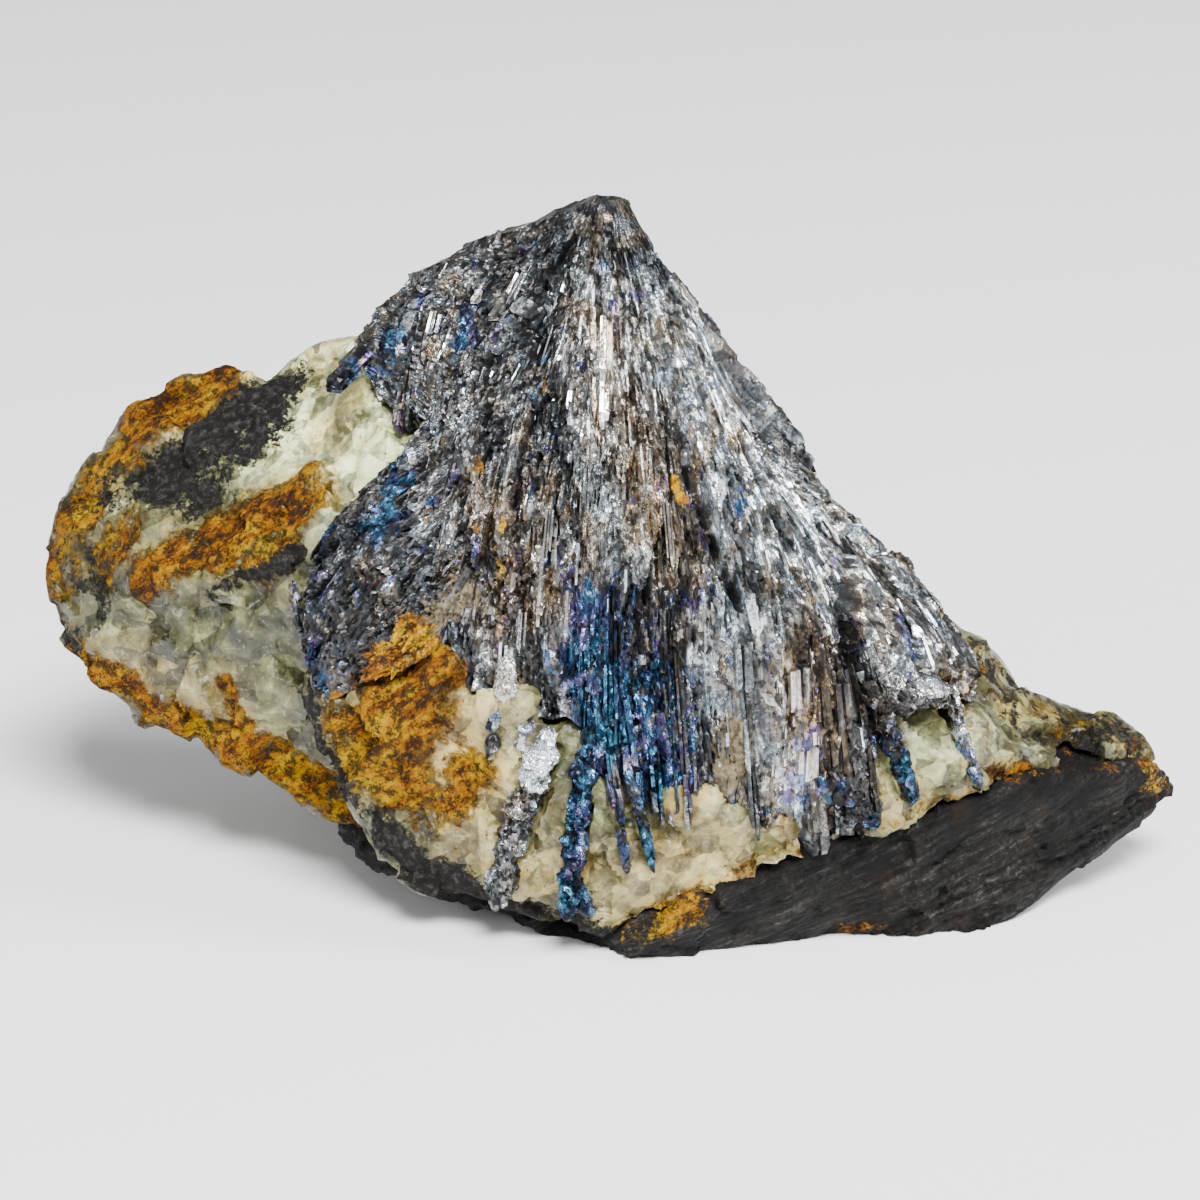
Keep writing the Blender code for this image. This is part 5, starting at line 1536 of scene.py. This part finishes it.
def mesh_arrays(mesh):
    """Points in millimetres and the normals of a mesh."""
    points = np.empty(len(mesh.vertices) * 3)
    mesh.vertices.foreach_get("co", points)
    normals = np.empty(len(mesh.vertices) * 3)
    mesh.vertex_normals.foreach_get("vector", normals)
    return points.reshape(-1, 3) / MM, normals.reshape(-1, 3)


def nearest_distance(points, others):
    """Distance from each point to the nearest of some others."""
    found = np.empty(len(points))
    for part in np.array_split(np.arange(len(points)), len(points) // 4000 + 1):
        here = points[part]
        apart = (here**2).sum(1)[:, None] + (others**2).sum(1) - 2 * here @ others.T
        found[part] = np.sqrt(np.maximum(apart.min(axis=1), 0))
    return found


def broken_layers(level, thickness, height, rng):
    """How far each point of a stack of layers moves out: every layer has its own random height."""
    heights = rng.uniform(-height, height, LAYER_NUMBERS)
    return heights[np.floor(level / thickness).astype(int) % LAYER_NUMBERS]


class SPECIMEN_OT_break_quartz(bpy.types.Operator):
    """Break the quartz into glassy chips, and lay out its stains"""

    bl_idname = "specimen.break_quartz"
    bl_label = "Break the quartz"

    def execute(self, context):
        stone = context.scene.specimen_stone
        mesh = fine_copy("quartz_vein", "quartz", stone.fineness)
        points, normals = mesh_arrays(mesh)
        direction, distance, foot = SPLIT_FACE
        over = points @ np.array(direction) - distance - np.maximum(foot - points[:, 2], 0)
        points = points - np.maximum(over, 0)[:, None] * direction
        wide = stone.chip_size / MM
        large, chip = stone_chips(points, wide, 300, 0.30, 0.36)
        small, small_chip = stone_chips(points, wide * 0.33, 310, 0.05, 0.20)
        lift = 0.15 + large + small + soft_noise(points, 6.0, 5) * 0.08
        rim, _ = skin_point(FAN_RIBS, np.linspace(*BANK_RIBS, 300), np.ones(300))
        lift += RIM_BANK * np.exp(-((nearest_distance(points, rim) / 1.5) ** 2))
        rim, _ = skin_point(FAN_RIBS, np.linspace(*FOOT_RIBS, 100), np.ones(100))
        lift += FOOT_BANK * np.exp(-((nearest_distance(points, rim) / 2.0) ** 2))
        lift -= QUARTZ_DROP * zone("dropped", points) + SEAM * zone("seam", points)
        values = {key: zone(key, points) for key in ("rust", "dark", "cream", "milky")}
        values["chip"] = 0.6 * chip + 0.4 * small_chip
        quartz = quartz_material("cloudy_quartz", stone)
        moved = points + normals * lift[:, None]
        mesh.vertices.foreach_set("co", (moved * MM).ravel())
        piece = add_piece("quartz_stone", mesh, quartz, values, 32)
        dress(piece, "quartz", "quartz_vein")
        return {"FINISHED"}


class SPECIMEN_OT_split_slate(bpy.types.Operator):
    """Split the slate along its layers, with small broken steps"""

    bl_idname = "specimen.split_slate"
    bl_label = "Split the slate"

    def execute(self, context):
        stone = context.scene.specimen_stone
        mesh = fine_copy("slate_base", "slate", stone.fineness)
        points, normals = mesh_arrays(mesh)
        level = points @ unit(np.array(ACROSS_LAYERS)) + soft_noise(points, 9.0, 6) * 0.5
        rng = np.random.default_rng(410)
        step = broken_layers(level, SLATE_LAYER, 0.22, rng)
        fine_step = broken_layers(level, SLATE_LEAF, 0.08, rng)
        chips, _ = stone_chips(points, 3.5, 400, 0.16, 0.12)
        lift = 0.12 + step + fine_step + chips + SEAM * zone("seam", points)
        moved = points + normals * lift[:, None]
        moved[:, 2] = np.maximum(moved[:, 2], 0.0)
        slate = slate_material("black_slate", stone)
        mesh.vertices.foreach_set("co", (moved * MM).ravel())
        piece = add_piece("slate_stone", mesh, slate, {"rust": zone("rust", points)}, 45)
        dress(piece, "slate", "slate_base")
        return {"FINISHED"}


# ---- the stage -----------------------------------------------------------------------------------

VIEW_HEIGHT = math.radians(22)  # the camera looks down by this angle
VIEW_DISTANCE = 0.320
VIEW_CENTRE = Vector((-2.8, 0.0, 21.4)) * MM
LENS = 135
FLOOR_SIZE = 4.0
FLOOR_GAP = 0.05  # the floor lies this far below the resting face, in millimetres
LIGHTS = {
    "key_light": ((0.10, -0.42, 0.62), (0.30, 0.22), "key_power"),
    "side_light": ((0.55, -0.10, 0.30), (0.10, 0.45), "side_power"),
    "fill_light": ((-0.60, -0.35, 0.35), (0.35, 0.35), "fill_power"),
}


class SPECIMEN_OT_set_stage(bpy.types.Operator):
    """Set out the pale floor, the soft lights and the camera"""

    bl_idname = "specimen.set_stage"
    bl_label = "Set the stage"

    def execute(self, context):
        stage = context.scene.specimen_stage
        half = FLOOR_SIZE / MM / 2
        signs = ((-1, -1), (1, -1), (1, 1), (-1, 1))
        corners = np.array([(x * half, y * half, -FLOOR_GAP) for x, y in signs])
        nodes = Nodes("pale_floor")
        surface = nodes.set(base_color=(*stage.floor, 1), roughness=0.9)
        floor = build("floor", corners, [(0, 1, 2, 3)], surface)
        for name, (place, size, power) in LIGHTS.items():
            lamp = bpy.data.lights.new(name, "AREA")
            lamp.shape = "RECTANGLE"
            lamp.size, lamp.size_y = size
            lamp.energy = getattr(stage, power)
            thing = bpy.data.objects.new(name, lamp)
            thing.location = place
            thing.rotation_euler = (VIEW_CENTRE - thing.location).to_track_quat("-Z", "Y").to_euler()
            context.scene.collection.objects.link(thing)
        world = bpy.data.worlds.new("room")
        world.use_nodes = True
        background = world.node_tree.nodes["Background"]
        background.inputs["Color"].default_value = (0.95, 0.97, 1.0, 1)
        background.inputs["Strength"].default_value = stage.surround
        context.scene.world = world
        lens = bpy.data.cameras.new("camera")
        lens.lens = LENS
        lens.clip_start = 0.01
        camera = bpy.data.objects.new("camera", lens)
        back = Vector((0, -math.cos(VIEW_HEIGHT), math.sin(VIEW_HEIGHT)))
        camera.location = VIEW_CENTRE + back * VIEW_DISTANCE
        camera.rotation_euler = (-back).to_track_quat("-Z", "Y").to_euler()
        context.scene.collection.objects.link(camera)
        context.scene.camera = camera
        return {"FINISHED"}


# ---- the add-on ----------------------------------------------------------------------------------


class SPECIMEN_PT_panel(bpy.types.Panel):
    """Lists the steps that build the specimen, and its settings"""

    bl_label = "Stibnite spray"
    bl_idname = "SPECIMEN_PT_panel"
    bl_space_type = "VIEW_3D"
    bl_region_type = "UI"
    bl_category = "Specimen"

    def draw(self, context):
        for step in STEPS:
            self.layout.operator(step.bl_idname)
        for name in SETTINGS:
            group = getattr(context.scene, name)
            box = self.layout.box()
            for setting in group.bl_rna.properties:
                if setting.identifier not in {"rna_type", "name"}:
                    box.prop(group, setting.identifier)


STEPS = (
    SPECIMEN_OT_set_stage,
    SPECIMEN_OT_grow_fans,
    SPECIMEN_OT_set_blades,
    SPECIMEN_OT_lay_runs,
    SPECIMEN_OT_set_crystals,
    SPECIMEN_OT_break_quartz,
    SPECIMEN_OT_split_slate,
)
SETTINGS = {
    "specimen_spray": SPECIMEN_PG_spray,
    "specimen_stone": SPECIMEN_PG_stone,
    "specimen_stage": SPECIMEN_PG_stage,
}
CLASSES = (*SETTINGS.values(), *STEPS, SPECIMEN_PT_panel)


def register():
    """Adds the classes and their settings to Blender."""
    for kind in CLASSES:
        bpy.utils.register_class(kind)
    for name, kind in SETTINGS.items():
        setattr(bpy.types.Scene, name, bpy.props.PointerProperty(type=kind))


def unregister():
    """Takes the classes and their settings out of Blender."""
    for name in SETTINGS:
        delattr(bpy.types.Scene, name)
    for kind in reversed(CLASSES):
        bpy.utils.unregister_class(kind)


def main():
    """Runs every step in order."""
    register()
    for step in STEPS:
        group, name = step.bl_idname.split(".")
        getattr(getattr(bpy.ops, group), name)()


if __name__ == "__main__":
    main()
